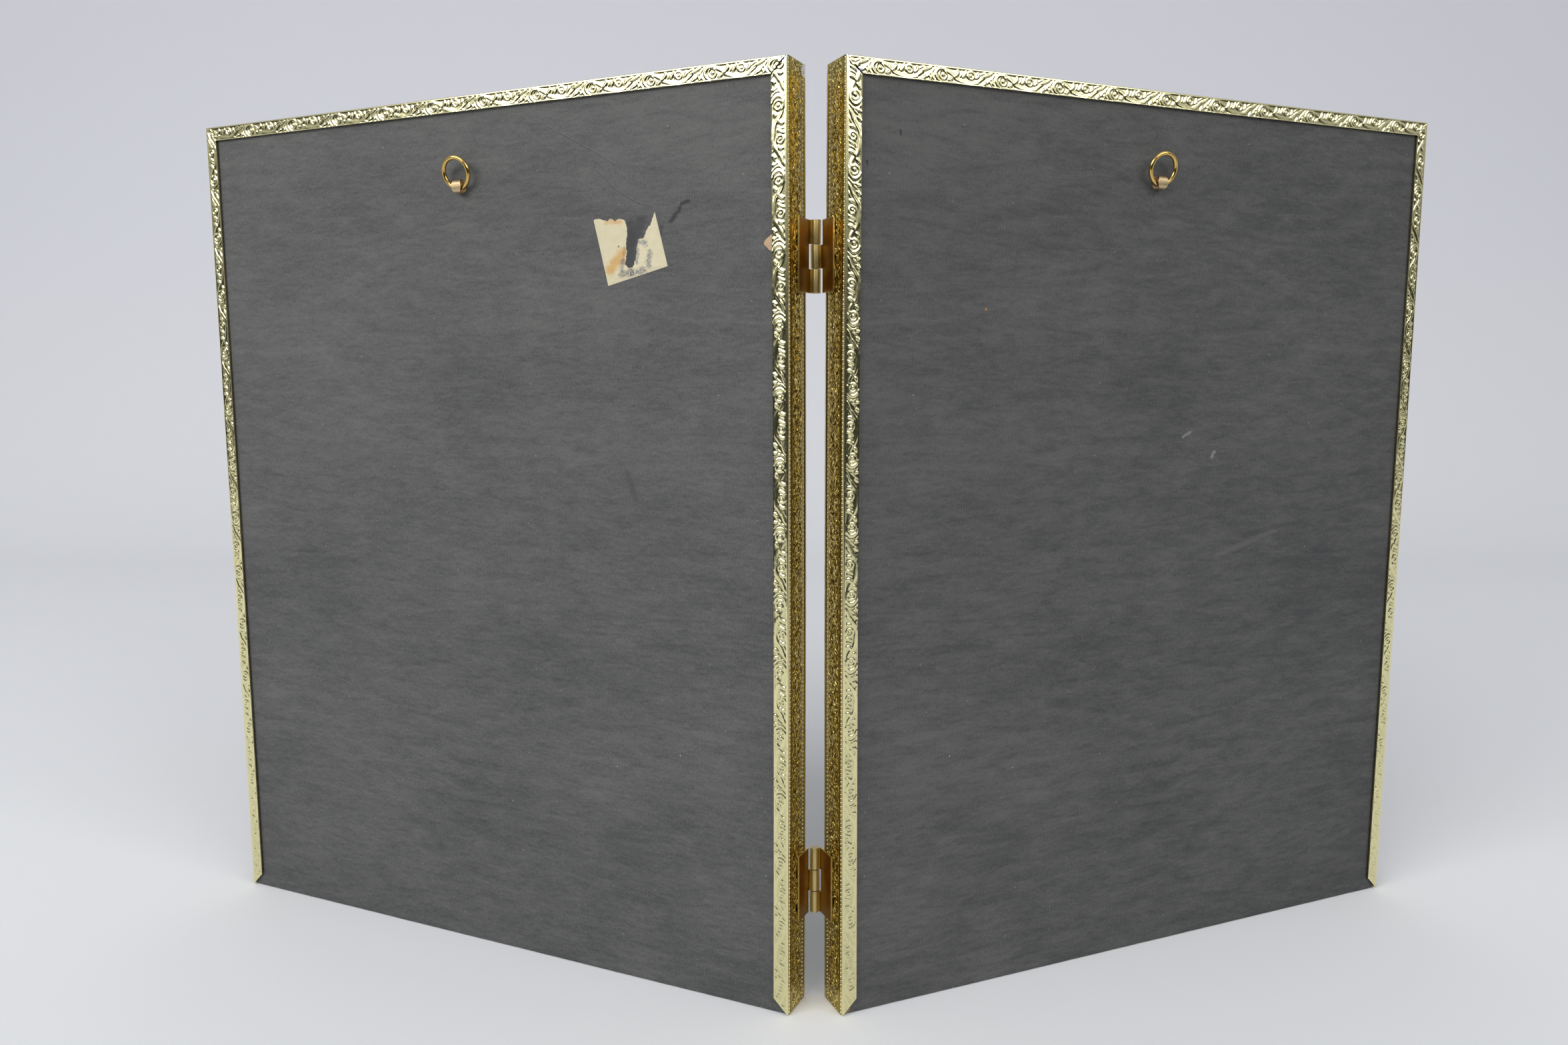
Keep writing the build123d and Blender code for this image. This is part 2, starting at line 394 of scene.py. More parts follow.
@dataclass(frozen=True)
class Finish:
    """A finish of the object, which knows how to make its material."""

    name: str

    def paint(self, bench: Bench) -> None:
        """Draws the finish on a bench."""
        raise NotImplementedError

    def material(self) -> bpy.types.Material:
        """The finish as a material, made once.

        Returns:
            The material.
        """
        known = bpy.data.materials.get(self.name + "_finish")
        if known is not None:
            return known
        made = bpy.data.materials.new(self.name + "_finish")
        made.use_nodes = True
        self.paint(Bench(made.node_tree))
        return made


@dataclass(frozen=True)
class GiltFinish(Finish):
    """Gilt lacquer over stamped sheet: pale on the flanges, amber on the walls, with painted shade in the
    hollows of the wall and at the foot of the flange's relief.
    """

    pale: Colour = (0.83, 0.775, 0.435)
    amber: Colour = (0.90, 0.76, 0.27)
    # Painted shade: the dark colour of the wall's ground between its raised strokes.
    hollow: Colour = (0.30, 0.21, 0.05)
    rim: Colour = (0.66, 0.57, 0.44)
    # Painted shade at the foot of the flange's relief; the same dark colour also marks random tarnish.
    crevice: Colour = (0.24, 0.185, 0.065)
    solder: Colour = (0.76, 0.76, 0.74)
    polish: float = 0.13
    dash_lean: Pair = (0.77, 0.64)
    dash_scale: Pair = (0.72, 1.9)

    def paint(self, bench: Bench) -> None:
        """Draws worn gilt that follows the strip's own attributes, with painted shade in its hollows.

        Args:
            bench: The bench to draw on.
        """
        place = bench.place()
        relief = bench.attribute("relief").out("Fac")
        strip = bench.attribute("strip_place").out("Fac")
        soldered = bench.attribute("solder").out("Fac")
        broad = bench.noise(place, 55.0, 3.0)
        fine = bench.noise(place, 900.0, 3.0, 0.6)
        pits = bench.noise(place, 3200.0, 2.0, 0.5)
        rim = strip.step(0.6, 0.75)
        wall = strip.step(0.25, 0.4)
        band = wall * (1 - rim)
        dash = self._dashes(bench)
        # Painted shade: the wall's ground between the raised strokes, and its lower relief, is painted dark.
        ground = bench.blend((dash * 0.9 + relief * 0.35).smaller(1.0), self.hollow, self.amber)
        colour = bench.blend(band, self.pale, ground)
        colour = bench.blend(rim, colour, self.rim)
        # Painted shade: the flange's ground and the foot of its relief are painted darker.
        foot = (1 - relief.step(0.02, 0.22)) * (relief + 0.02).step(0.0, 0.05) * (1 - wall)
        colour = bench.blend(foot * 0.30, colour, self.crevice)
        # Random tarnish in patches, in the same dark colour.
        colour = bench.blend((broad.step(0.48, 0.72) * fine.step(0.4, 0.7)) * 0.22, colour, self.crevice)
        colour = bench.blend((soldered + fine * 0.5 - 0.25).step(0.45, 0.6), colour, self.solder)
        rough = fine.spread(self.polish - 0.04, self.polish + 0.10) + rim * 0.28
        normal = bench.bump(fine * 0.7 + pits * 0.3, 0.00002, 0.5)
        normal = bench.bump(dash * band, 0.00012, 0.8, normal)
        bench.surface(Base_Color=colour, Metallic=1.0, Roughness=rough, Normal=normal)

    def _dashes(self, bench: Bench) -> Reading:
        """The stamped leaf strokes of the wall, which lean both ways along it.

        Args:
            bench: The bench to draw on.

        Returns:
            How much of a stroke lies at a place.
        """
        along = bench.attribute("along_strip").out("Fac")
        across = bench.attribute("across_strip").out("Fac")
        upright, sideways = self.dash_lean
        shown = 0.0
        for lean, start in ((1.0, 0.0), (-1.0, 40.0)):
            long_way = along * upright + across * (sideways * lean)
            short_way = across * upright - along * (sideways * lean)
            long_scale, short_scale = self.dash_scale
            place = bench.vector(long_way * long_scale + start, short_way * short_scale, start)
            shown = bench.noise(place, 1.0, 0.0, 0.4, 0.3).step(0.57, 0.66).larger(shown)
        return shown * across.step(3.3, 3.7) * (1 - across.step(9.4, 9.7))


@dataclass(frozen=True)
class PlainMetalFinish(Finish):
    """A drawn, rolled or brushed metal with streaks along one direction."""

    colour: Colour
    dark: Colour
    roughness: float
    streaks: Triple
    bump_depth: float = 0.00002

    def paint(self, bench: Bench) -> None:
        """Draws streaked metal with dull patches.

        Args:
            bench: The bench to draw on.
        """
        place = bench.place()
        links = {"Vector": place, "Scale": self.streaks}
        stretched = bench.node("ShaderNodeMapping", None, links).out("Vector")
        streak = bench.noise(stretched, 1.0, 4.0, 0.6)
        patch = bench.noise(place, 240.0, 3.0)
        share = (streak * 0.6 + patch * 0.6 - 0.1).larger(0.0).smaller(1.0)
        colour = bench.blend(share, self.dark, self.colour)
        rough = (patch.spread(-0.07, 0.10) + self.roughness + streak * 0.06).larger(0.05)
        normal = bench.bump(streak, self.bump_depth, 0.6)
        bench.surface(Base_Color=colour, Metallic=1.0, Roughness=rough, Normal=normal)


@dataclass(frozen=True)
class HingeBronzeFinish(Finish):
    """Browned leaves with lighter, rubbed edges, knuckles and shear lines."""

    dark: Colour = (0.26, 0.125, 0.012)
    light: Colour = (0.48, 0.265, 0.035)
    fleck: Colour = (0.60, 0.42, 0.16)
    worn: tuple[Colour, Colour] = ((0.46, 0.36, 0.14), (0.78, 0.66, 0.33))
    knuckle_reach: Pair = (0.00142, 0.00165)
    knuckle_cuts: tuple[float, ...] = (31.37, 37.93, 205.17, 211.73)

    def paint(self, bench: Bench) -> None:
        """Draws the leaves by how far they lie from the hinge line.

        Args:
            bench: The bench to draw on.
        """
        place = bench.place()
        split = bench.node("ShaderNodeSeparateXYZ", None, {0: place})
        x, y, z = split.out("X"), split.out("Y"), split.out("Z")
        off_y = y - AXIS_Y * MM
        from_axis = (x * x + off_y * off_y) ** 0.5
        knuckle = 1 - from_axis.step(*self.knuckle_reach)
        rubbed = bench.attribute("rubbed").out("Fac")
        upright = bench.vector(x * 2600.0, y * 2600.0, z * 130.0)
        streak = bench.noise(upright, 1.0, 4.0, 0.65)
        cloud = bench.noise(place, 260.0, 3.0, 0.55, 0.4)
        spots = bench.noise(place, 1500.0, 2.0)
        leaf = bench.blend(streak * 0.4 + cloud * 0.6 - 0.05, self.dark, self.light)
        leaf = bench.blend(spots.step(0.68, 0.8) * 0.4, leaf, self.fleck)
        worn = bench.blend(streak, *self.worn)
        line = 0.0
        for cut in self.knuckle_cuts:
            line = (1 - (z - cut * MM).size().step(0.00003, 0.00013)) + line
        line = line * (1 - from_axis.step(0.0028, 0.0032))
        shown = knuckle.larger(rubbed * 0.75).larger(line * 0.7)
        colour = bench.blend(shown, leaf, worn)
        rough = (streak * 0.14 + cloud * 0.10 + 0.22) + knuckle * 0.06
        normal = bench.bump(streak + line * 0.6, 0.000025, 0.7)
        bench.surface(Base_Color=colour, Metallic=1.0, Roughness=rough, Normal=normal)


@dataclass(frozen=True)
class Mark:
    """A crease, scratch or smudge on a board, from one place on it to another, in millimetres."""

    start: Pair
    end: Pair
    half_width: float
    tint: Colour
    strength: float
    rise: float = 0.0
    patchy: bool = False


@dataclass(frozen=True)
class BoardPaperFinish(Finish):
    """Dark grey ribbed paper over card, with the marks that its board has."""

    side: Side
    tone: float
    cloudy: float
    ribbing: float
    # Painted light: how far the paper's brightness tilts across the board and up it.
    fade: Pair
    marks: tuple[Mark, ...]
    rib_spacing: float = 0.53
    dark: Colour = (0.60, 0.61, 0.62)
    pale: Colour = (1.42, 1.41, 1.36)
    lint: Colour = (0.40, 0.40, 0.39)

    def _mark_share(self, bench: Bench, mark: Mark, x: Reading, z: Reading, ragged: Reading) -> Reading:
        """How much a mark shows at a place, from 0 to 1.

        Args:
            bench: The bench to draw on.
            mark: The mark.
            x: How far the place lies across the board.
            z: How far it lies up the board.
            ragged: Noise that makes the mark's edge ragged.

        Returns:
            The mark's share there.
        """
        gap = bench.away(x, z, mark.start, mark.end) + (ragged - 0.5) * min(3.0, mark.half_width * 3.4)
        return 1 - gap.step(mark.half_width * 0.35, mark.half_width * 1.3)

    def paint(self, bench: Bench) -> None:
        """Draws ribs, streaks, specks and the marks, with painted light that tilts the paper's brightness
        across and up the board.

        Args:
            bench: The bench to draw on.
        """
        x, z = bench.on_board(self.side)
        flat = bench.vector(x, z, 0.0)
        wander = bench.noise(flat, 0.10, 3.0, 0.6)
        rib = (x * (2 * math.pi / self.rib_spacing) + wander * 7.0).wave() * 0.5 + 0.5
        shown = bench.noise(bench.vector(x * 0.3, z * 0.5, 5.0), 1.0, 4.0, 0.75).step(0.38, 0.66)
        thread = bench.noise(bench.vector(x * 2.1, z * 0.85, 0.0), 1.0, 4.0, 0.72)
        laid = bench.noise(bench.vector(x * 0.07, z * 0.30, 3.0), 1.0, 5.0, 0.66, 0.5)
        wisp = bench.noise(bench.vector(x * 0.30, z * 1.05, 9.0), 1.0, 3.0, 0.7, 0.4)
        broad = bench.noise(bench.vector(x * 0.016, z * 0.024, 8.0), 1.0, 3.0)
        grain = bench.noise(bench.vector(x * 3.4, z * 2.4, 0.0), 1.0, 3.0, 0.72)
        light = (laid - 0.5) * self.cloudy + (broad - 0.5) * 0.9 + (wisp - 0.5) * 1.0
        light = light + (thread - 0.5) * 1.15 + (grain - 0.5) * 1.5 + (rib - 0.5) * shown * self.ribbing + 0.5
        # Painted light: the paper's brightness is tilted across the board and up it.
        painted_light_across, painted_light_up = self.fade
        light = light + (x / FRAME_WIDTH - 0.5) * painted_light_across + (z / FRAME_HEIGHT - 0.5) * painted_light_up
        dark, pale = (tuple(self.tone * c for c in tint) for tint in (self.dark, self.pale))
        colour = bench.blend(light.larger(0.0).smaller(1.0), dark, pale)
        specks = bench.noise(bench.vector(x * 0.9, z * 1.3, 4.0), 1.0, 1.0, 0.3)
        colour = bench.blend(specks.step(0.79, 0.83) * 0.6, colour, self.lint)
        ragged = bench.noise(flat, 1.1, 4.0, 0.75)
        height = rib * shown * 0.5 + thread * 0.4 + grain * 0.3
        for mark in self.marks:
            share = self._mark_share(bench, mark, x, z, ragged)
            colour = bench.blend(share * mark.strength, colour, mark.tint)
            if mark.rise:
                height = height + share * mark.rise
        rough = (0.84 - laid * 0.16 - thread * 0.10).larger(0.3)
        normal = bench.bump(height, 0.00011, 0.8)
        bench.surface(Base_Color=colour, Roughness=rough, Normal=normal, Specular_IOR_Level=0.35)


@dataclass(frozen=True)
class LabelPaperFinish(Finish):
    """Cream label paper with rust-brown stains, grey scuffs and a torn fibrous edge."""

    marks: tuple[Mark, ...]
    cream: tuple[Colour, Colour] = ((0.66, 0.58, 0.38), (0.80, 0.73, 0.52))
    torn_edge: Colour = (0.78, 0.73, 0.60)

    def paint(self, bench: Bench) -> None:
        """Draws the stains by where they lie on the label.

        Args:
            bench: The bench to draw on.
        """
        x, z = bench.on_board(Side.LEFT)
        flat = bench.vector(x, z, 0.0)
        cloud = bench.noise(flat, 0.45, 4.0, 0.65)
        fibre = bench.noise(bench.vector(x * 2.2, z * 2.6, 0.0), 1.0, 4.0, 0.75)
        torn = bench.attribute("torn").out("Fac")
        colour = bench.blend(cloud, *self.cream)
        for mark in self.marks:
            gap = bench.away(x, z, mark.start, mark.end) + (cloud - 0.5) * 2.4
            share = 1 - gap.step(mark.half_width * 0.2, mark.half_width * 1.3)
            if mark.patchy:
                share = share * fibre.step(0.40, 0.56)
            colour = bench.blend(share * mark.strength, colour, mark.tint)
        colour = bench.blend(torn.step(0.3, 1.0) * 0.6, colour, self.torn_edge)
        normal = bench.bump(fibre * 0.5 + torn * 0.5, 0.00006, 0.7)
        bench.surface(Base_Color=colour, Roughness=0.82, Normal=normal, Specular_IOR_Level=0.3)


@dataclass(frozen=True)
class RawCardFinish(Finish):
    """Raw pulp card, torn, with loose fibres."""

    tone: Colour = (0.47, 0.33, 0.20)
    dirt: Colour = (0.10, 0.07, 0.05)

    def paint(self, bench: Bench) -> None:
        """Draws fibres and patches of dirt.

        Args:
            bench: The bench to draw on.
        """
        place = bench.place()
        fibre = bench.noise(place, 2600.0, 4.0, 0.7, 0.3)
        cloud = bench.noise(place, 420.0, 3.0)
        pale = tuple(min(1.0, c * 1.45) for c in self.tone)
        colour = bench.blend(fibre * 0.6 + cloud * 0.4, self.tone, pale)
        colour = bench.blend(cloud.step(0.62, 0.75) * 0.6, colour, self.dirt)
        bench.surface(Base_Color=colour, Roughness=0.9, Normal=bench.bump(fibre, 0.00008, 0.8))


@dataclass(frozen=True)
class PaneFinish(Finish):
    """Clear picture glass with a faint green edge."""

    def paint(self, bench: Bench) -> None:
        """Draws clear glass with a few wipe marks in its gloss.

        Args:
            bench: The bench to draw on.
        """
        links = {"Vector": bench.place(), "Scale": (30.0, 30.0, 90.0)}
        wiped = bench.noise(bench.node("ShaderNodeMapping", None, links).out("Vector"), 1.0, 3.0)
        rough = wiped.step(0.45, 0.8) * 0.05 + 0.01
        bench.surface(Base_Color=(0.93, 0.975, 0.955), Roughness=rough, Transmission_Weight=1.0, IOR=1.5)


@dataclass(frozen=True)
class PrintPaperFinish(Finish):
    """Blank satin photographic paper with a plain white border."""

    side: Side
    border: float = 14.0

    def paint(self, bench: Bench) -> None:
        """Draws a plain grey field inside a white border.

        Args:
            bench: The bench to draw on.
        """
        place = bench.place()
        x, z = bench.on_board(self.side)
        in_x = FRAME_WIDTH / 2 - self.border - (x - FRAME_WIDTH / 2).size()
        in_z = FRAME_HEIGHT / 2 - self.border - (z - FRAME_HEIGHT / 2).size()
        field_share = in_x.smaller(in_z).step(-0.15, 0.15)
        cloud = bench.noise(place, 14.0, 2.0)
        grain = bench.noise(place, 5200.0, 2.0)
        sheet = bench.blend(cloud, (0.84, 0.83, 0.80), (0.90, 0.89, 0.86))
        blank = bench.blend(cloud, (0.60, 0.585, 0.55), (0.67, 0.655, 0.615))
        colour = bench.blend(field_share, sheet, blank)
        rough = grain.spread(0.28, 0.42)
        bench.surface(Base_Color=colour, Roughness=rough, Normal=bench.bump(grain, 0.00001, 0.3))


SMUDGE = (0.05, 0.05, 0.05)
INK_GREY = (0.028, 0.028, 0.028)
SPECK = (0.02, 0.02, 0.02)
SCUFF = (0.15, 0.175, 0.22)
LABEL_MARKS = (
    Mark((49.8, 210.2), (53.5, 206.3), 1.9, (0.66, 0.38, 0.10), 0.80),
    Mark((48.9, 211.8), (49.4, 208.0), 0.6, (0.40, 0.22, 0.07), 0.55),
    Mark((50.2, 218.9), (54.6, 219.2), 1.0, (0.62, 0.34, 0.10), 0.65),
    Mark((44.9, 213.0), (42.4, 212.7), 1.0, SCUFF, 0.90, patchy=True),
    Mark((41.0, 210.2), (41.4, 206.8), 1.0, SCUFF, 0.90, patchy=True),
    Mark((42.8, 205.6), (46.6, 204.9), 1.1, (0.12, 0.145, 0.19), 0.92, patchy=True),
    Mark((46.8, 205.1), (50.0, 204.9), 1.2, (0.10, 0.11, 0.13), 0.92, patchy=True),
    Mark((50.0, 205.6), (49.6, 208.4), 0.7, (0.15, 0.17, 0.20), 0.75, patchy=True),
    Mark((44.8, 211.4), (45.2, 207.6), 0.7, SCUFF, 0.80, patchy=True),
    Mark((50.8, 212.6), (50.7, 212.2), 0.30, (0.10, 0.085, 0.08), 0.80),
)

GILT = GiltFinish("gilt_lacquer")
HINGE_BRONZE = HingeBronzeFinish("hinge_bronze")
RING_BRASS = PlainMetalFinish("ring_brass", (0.86, 0.62, 0.22), (0.55, 0.34, 0.08), 0.15,
                              (300.0, 300.0, 300.0))
STRAP_BRASS = PlainMetalFinish("strap_brass", (0.72, 0.56, 0.34), (0.40, 0.28, 0.14), 0.34,
                               (3000.0, 900.0, 240.0))
PIN_STEEL = PlainMetalFinish("pin_steel", (0.62, 0.58, 0.52), (0.34, 0.30, 0.25), 0.3,
                             (2400.0, 2400.0, 200.0))
LABEL_PAPER = LabelPaperFinish("label_paper", LABEL_MARKS)
RAW_CARD = RawCardFinish("raw_card")
PANE = PaneFinish("pane_glass")


def crease(*places: Pair) -> tuple[Mark, ...]:
    """A fold in the paper, raised by a bump along it, with a painted highlight as its lighter edge and a
    painted shadow as the thin dark line under it.

    Args:
        *places: The places that it runs through, in millimetres.

    Returns:
        The marks that draw it.
    """
    lines = []
    for start, end in zip(places, places[1:]):
        # Painted shadow: a thin dark line just below the fold.
        under = [(x + 0.06, z - 0.18) for x, z in (start, end)]
        lines.append(Mark(*under, 0.12, (0.04, 0.04, 0.04), 0.6))
        # Painted highlight: the fold's lifted edge, drawn lighter, with its bump.
        lines.append(Mark(start, end, 0.13, (0.19, 0.19, 0.185), 0.5, 0.5))
    return tuple(lines)


LEFT_MARKS = (
    Mark((47.3, 217.2), (47.2, 206.6), 2.0, (0.045, 0.046, 0.048), 0.75),
    Mark((43.6, 218.4), (45.6, 214.2), 1.9, (0.05, 0.051, 0.052), 0.65),
    Mark((37.3, 216.6), (37.9, 214.4), 0.7, SMUDGE, 0.6),
    Mark((28.9, 222.9), (31.3, 222.4), 0.55, INK_GREY, 0.8),
    Mark((31.7, 221.3), (32.1, 220.4), 0.6, INK_GREY, 0.8),
    Mark((32.9, 219.6), (34.4, 218.2), 0.75, INK_GREY, 0.8),
    Mark((47.0, 143.0), (49.5, 150.0), 1.1, (0.06, 0.06, 0.06), 0.5),
    *crease((72.4, 245.6), (64.0, 241.2), (56.2, 237.0), (51.0, 233.8)),
    *crease((57.4, 233.3), (51.8, 227.8), (44.9, 223.7), (39.7, 222.3)),
)
RIGHT_MARKS = (
    Mark((112.5, 158.6), (115.5, 160.2), 0.45, (0.26, 0.26, 0.25), 0.7),
    Mark((124.0, 152.4), (125.0, 153.8), 0.55, (0.28, 0.28, 0.27), 0.7),
    Mark((128.0, 122.0), (151.0, 128.5), 1.1, (0.13, 0.13, 0.125), 0.5),
    Mark((138.0, 127.6), (162.0, 131.0), 0.9, (0.045, 0.045, 0.045), 0.45),
    Mark((15.9, 239.6), (16.0, 238.9), 0.3, SPECK, 0.8),
    Mark((6.3, 231.4), (6.5, 230.6), 0.3, SPECK, 0.8),
    Mark((42.7, 195.0), (42.8, 194.8), 0.32, (0.55, 0.24, 0.05), 0.9),
    Mark((1.1, 0.0), (2.4, 1.2), 0.7, (0.30, 0.20, 0.11), 0.8),
)
BOARD_PAPER = {
    # Each board's tilt of brightness across and up is painted light.
    Side.LEFT: BoardPaperFinish("left_board_paper", Side.LEFT, tone=0.100, cloudy=1.1, ribbing=0.34,
                                fade=(0.0, 0.36), marks=LEFT_MARKS),
    Side.RIGHT: BoardPaperFinish("right_board_paper", Side.RIGHT, tone=0.084, cloudy=1.5, ribbing=0.6,
                                 fade=(-0.35, 0.2), marks=RIGHT_MARKS),
}
PRINT_PAPER = {side: PrintPaperFinish(side.word + "_print_paper", side) for side in Side}


# Meshes and riding


def outward(mesh: bpy.types.Mesh) -> None:
    """Turns a closed mesh's faces outwards if it came out inside out.

    Args:
        mesh: The mesh.
    """
    work = bmesh.new()
    work.from_mesh(mesh)
    if work.calc_volume(signed=True) < 0:
        bmesh.ops.reverse_faces(work, faces=work.faces)
    work.to_mesh(mesh)
    work.free()


def put_in_scene(name: str, data: bpy.types.ID) -> bpy.types.Object:
    """Makes an object from its data and links it to the scene.

    Args:
        name: The object's name.
        data: Its mesh, light or camera.

    Returns:
        The object.
    """
    made = bpy.data.objects.new(name, data)
    bpy.context.scene.collection.objects.link(made)
    return made


def dress_solid(node: str, finish: Finish) -> None:
    """Gives its finish to a solid whose shape stays.

    Args:
        node: The solid's node.
        finish: Its finish.
    """
    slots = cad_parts[node].data.materials
    slots.clear()
    slots.append(finish.material())


@dataclass
class Fitting:
    """What a finished piece rides on and stands for."""

    body: str
    slot: str
    finish: Finish
    nodes: tuple[str, ...] = ()

    def fit(self, mesh: bpy.types.Mesh, name: str, sharp: float = 40.0) -> bpy.types.Object:
        """Makes the piece from its mesh and puts it on its body.

        Args:
            mesh: A closed mesh in metres, in the shared axes.
            name: The piece's name.
            sharp: Edges that turn by more than this many degrees stay sharp.

        Returns:
            The piece.
        """
        outward(mesh)
        mesh.shade_smooth()
        mesh.set_sharp_from_angle(angle=math.radians(sharp))
        mesh.materials.clear()
        mesh.materials.append(self.finish.material())
        piece = put_in_scene(name, mesh)
        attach(piece, self.body)
        if self.nodes:
            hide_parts(*self.nodes)
        log.info("%s: %d faces on %s", name, len(mesh.polygons), self.body)
        return piece


def rim_length(mesh: bpy.types.Mesh, face: bpy.types.MeshPolygon) -> float:
    """The length all round a face."""
    corners = [mesh.vertices[v].co for v in face.vertices]
    return sum((b - a).length for a, b in zip(corners, corners[1:] + corners[:1]))


def set_share(mesh: bpy.types.Mesh, name: str, shares: np.ndarray) -> None:
    """Writes one number for each point of a mesh."""
    attribute = mesh.attributes.new(name, "FLOAT", "POINT")
    attribute.data.foreach_set("value", shares.astype(np.float32))


def mesh_of(name: str, side: Side, places: np.ndarray, faces: Sequence[Sequence[int]]) -> bpy.types.Mesh:
    """A mesh from places in a frame's own axes.

    Args:
        name: The mesh's name.
        side: The frame.
        places: Rows of x, y, z in millimetres.
        faces: The numbers of each face's corners.

    Returns:
        The mesh, in metres and in the shared axes.
    """
    mesh = bpy.data.meshes.new(name)
    mesh.from_pydata(in_shared_axes(side, places).tolist(), [], [list(f) for f in faces])
    mesh.validate()
    return mesh


def ring_band(first: np.ndarray, second: np.ndarray) -> list[list[int]]:
    """Faces between two closed rings that have as many points."""
    return np.stack([first, second, np.roll(second, -1), np.roll(first, -1)], 1).tolist()


def tube_faces(count: int, sides: int) -> list[list[int]]:
    """Faces of a tube with closed ends, whose points are numbered ring after ring.

    Args:
        count: How many rings it has.
        sides: How many points a ring has.

    Returns:
        The numbers of each face's corners.
    """
    rings = np.arange(count * sides).reshape(count, sides)
    faces = []
    for first, second in zip(rings, rings[1:]):
        faces.extend(np.stack([first, np.roll(first, -1), np.roll(second, -1), second], 1).tolist())
    return faces + [rings[0][::-1].tolist(), rings[-1].tolist()]


def rounded_copy(node: str, edge: float) -> bpy.types.Mesh:
    """A merged copy of a solid's mesh with its sharp edges rounded.

    Args:
        node: The solid's node.
        edge: The rounding in millimetres.

    Returns:
        The new mesh.
    """
    work = bmesh.new()
    work.from_mesh(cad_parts[node].data)
    bmesh.ops.remove_doubles(work, verts=work.verts, dist=0.000002)
    bmesh.ops.dissolve_limit(work, angle_limit=math.radians(2.0), verts=work.verts, edges=work.edges)
    sharp = math.radians(40.0)
    corners = [e for e in work.edges if len(e.link_faces) == 2 and e.calc_face_angle(0.0) > sharp]
    bmesh.ops.bevel(work, geom=corners, offset=edge * MM, segments=2, profile=0.6, affect="EDGES",
                    clamp_overlap=True)
    mesh = bpy.data.meshes.new(node + "_rounded")
    work.to_mesh(mesh)
    work.free()
    return mesh


def smooth_line(points: Sequence[Pair], spacing: float) -> np.ndarray:
    """A smooth curve through points in a plane.

    Args:
        points: The places that it passes.
        spacing: About how far apart its samples are.

    Returns:
        The samples, one a row.
    """
    p = np.array(points, float)
    if len(p) == 2:
        count = max(2, int(np.linalg.norm(p[1] - p[0]) / spacing) + 1)
        return p[0] + np.linspace(0, 1, count)[:, None] * (p[1] - p[0])
    p = np.vstack([2 * p[0] - p[1], p, 2 * p[-1] - p[-2]])
    samples = []
    for a, b, c, d in zip(p, p[1:], p[2:], p[3:]):
        count = max(2, int(np.linalg.norm(c - b) / spacing) + 1)
        t = np.linspace(0, 1, count, endpoint=False)[:, None]
        samples.append(0.5 * (2 * b + (c - a) * t + (2 * a - 5 * b + 4 * c - d) * t**2
                              + (3 * b - a - 3 * c + d) * t**3))
    samples.append(p[-2][None])
    return np.vstack(samples)


def bell(place: float, middle: float, width: float) -> float:
    """A smooth hump of height 1 round a middle."""
    return math.exp(-(((place - middle) / width) ** 2))


# The stamped strip


@dataclass(frozen=True)
class Stroke:
    """A raised line of the stamping, through places along and across the strip."""

    places: tuple[Pair, ...]
    half_width: float
    height: float = 1.0
    start_share: float = 0.4
    end_share: float = 0.4


@dataclass(frozen=True)
class Volute:
    """A coiled line with a round boss at its middle."""

    centre: Pair
    outer: float
    inner: float
    start: float
    turns: float
    half_width: float
    boss: float
    height: float = 0.85


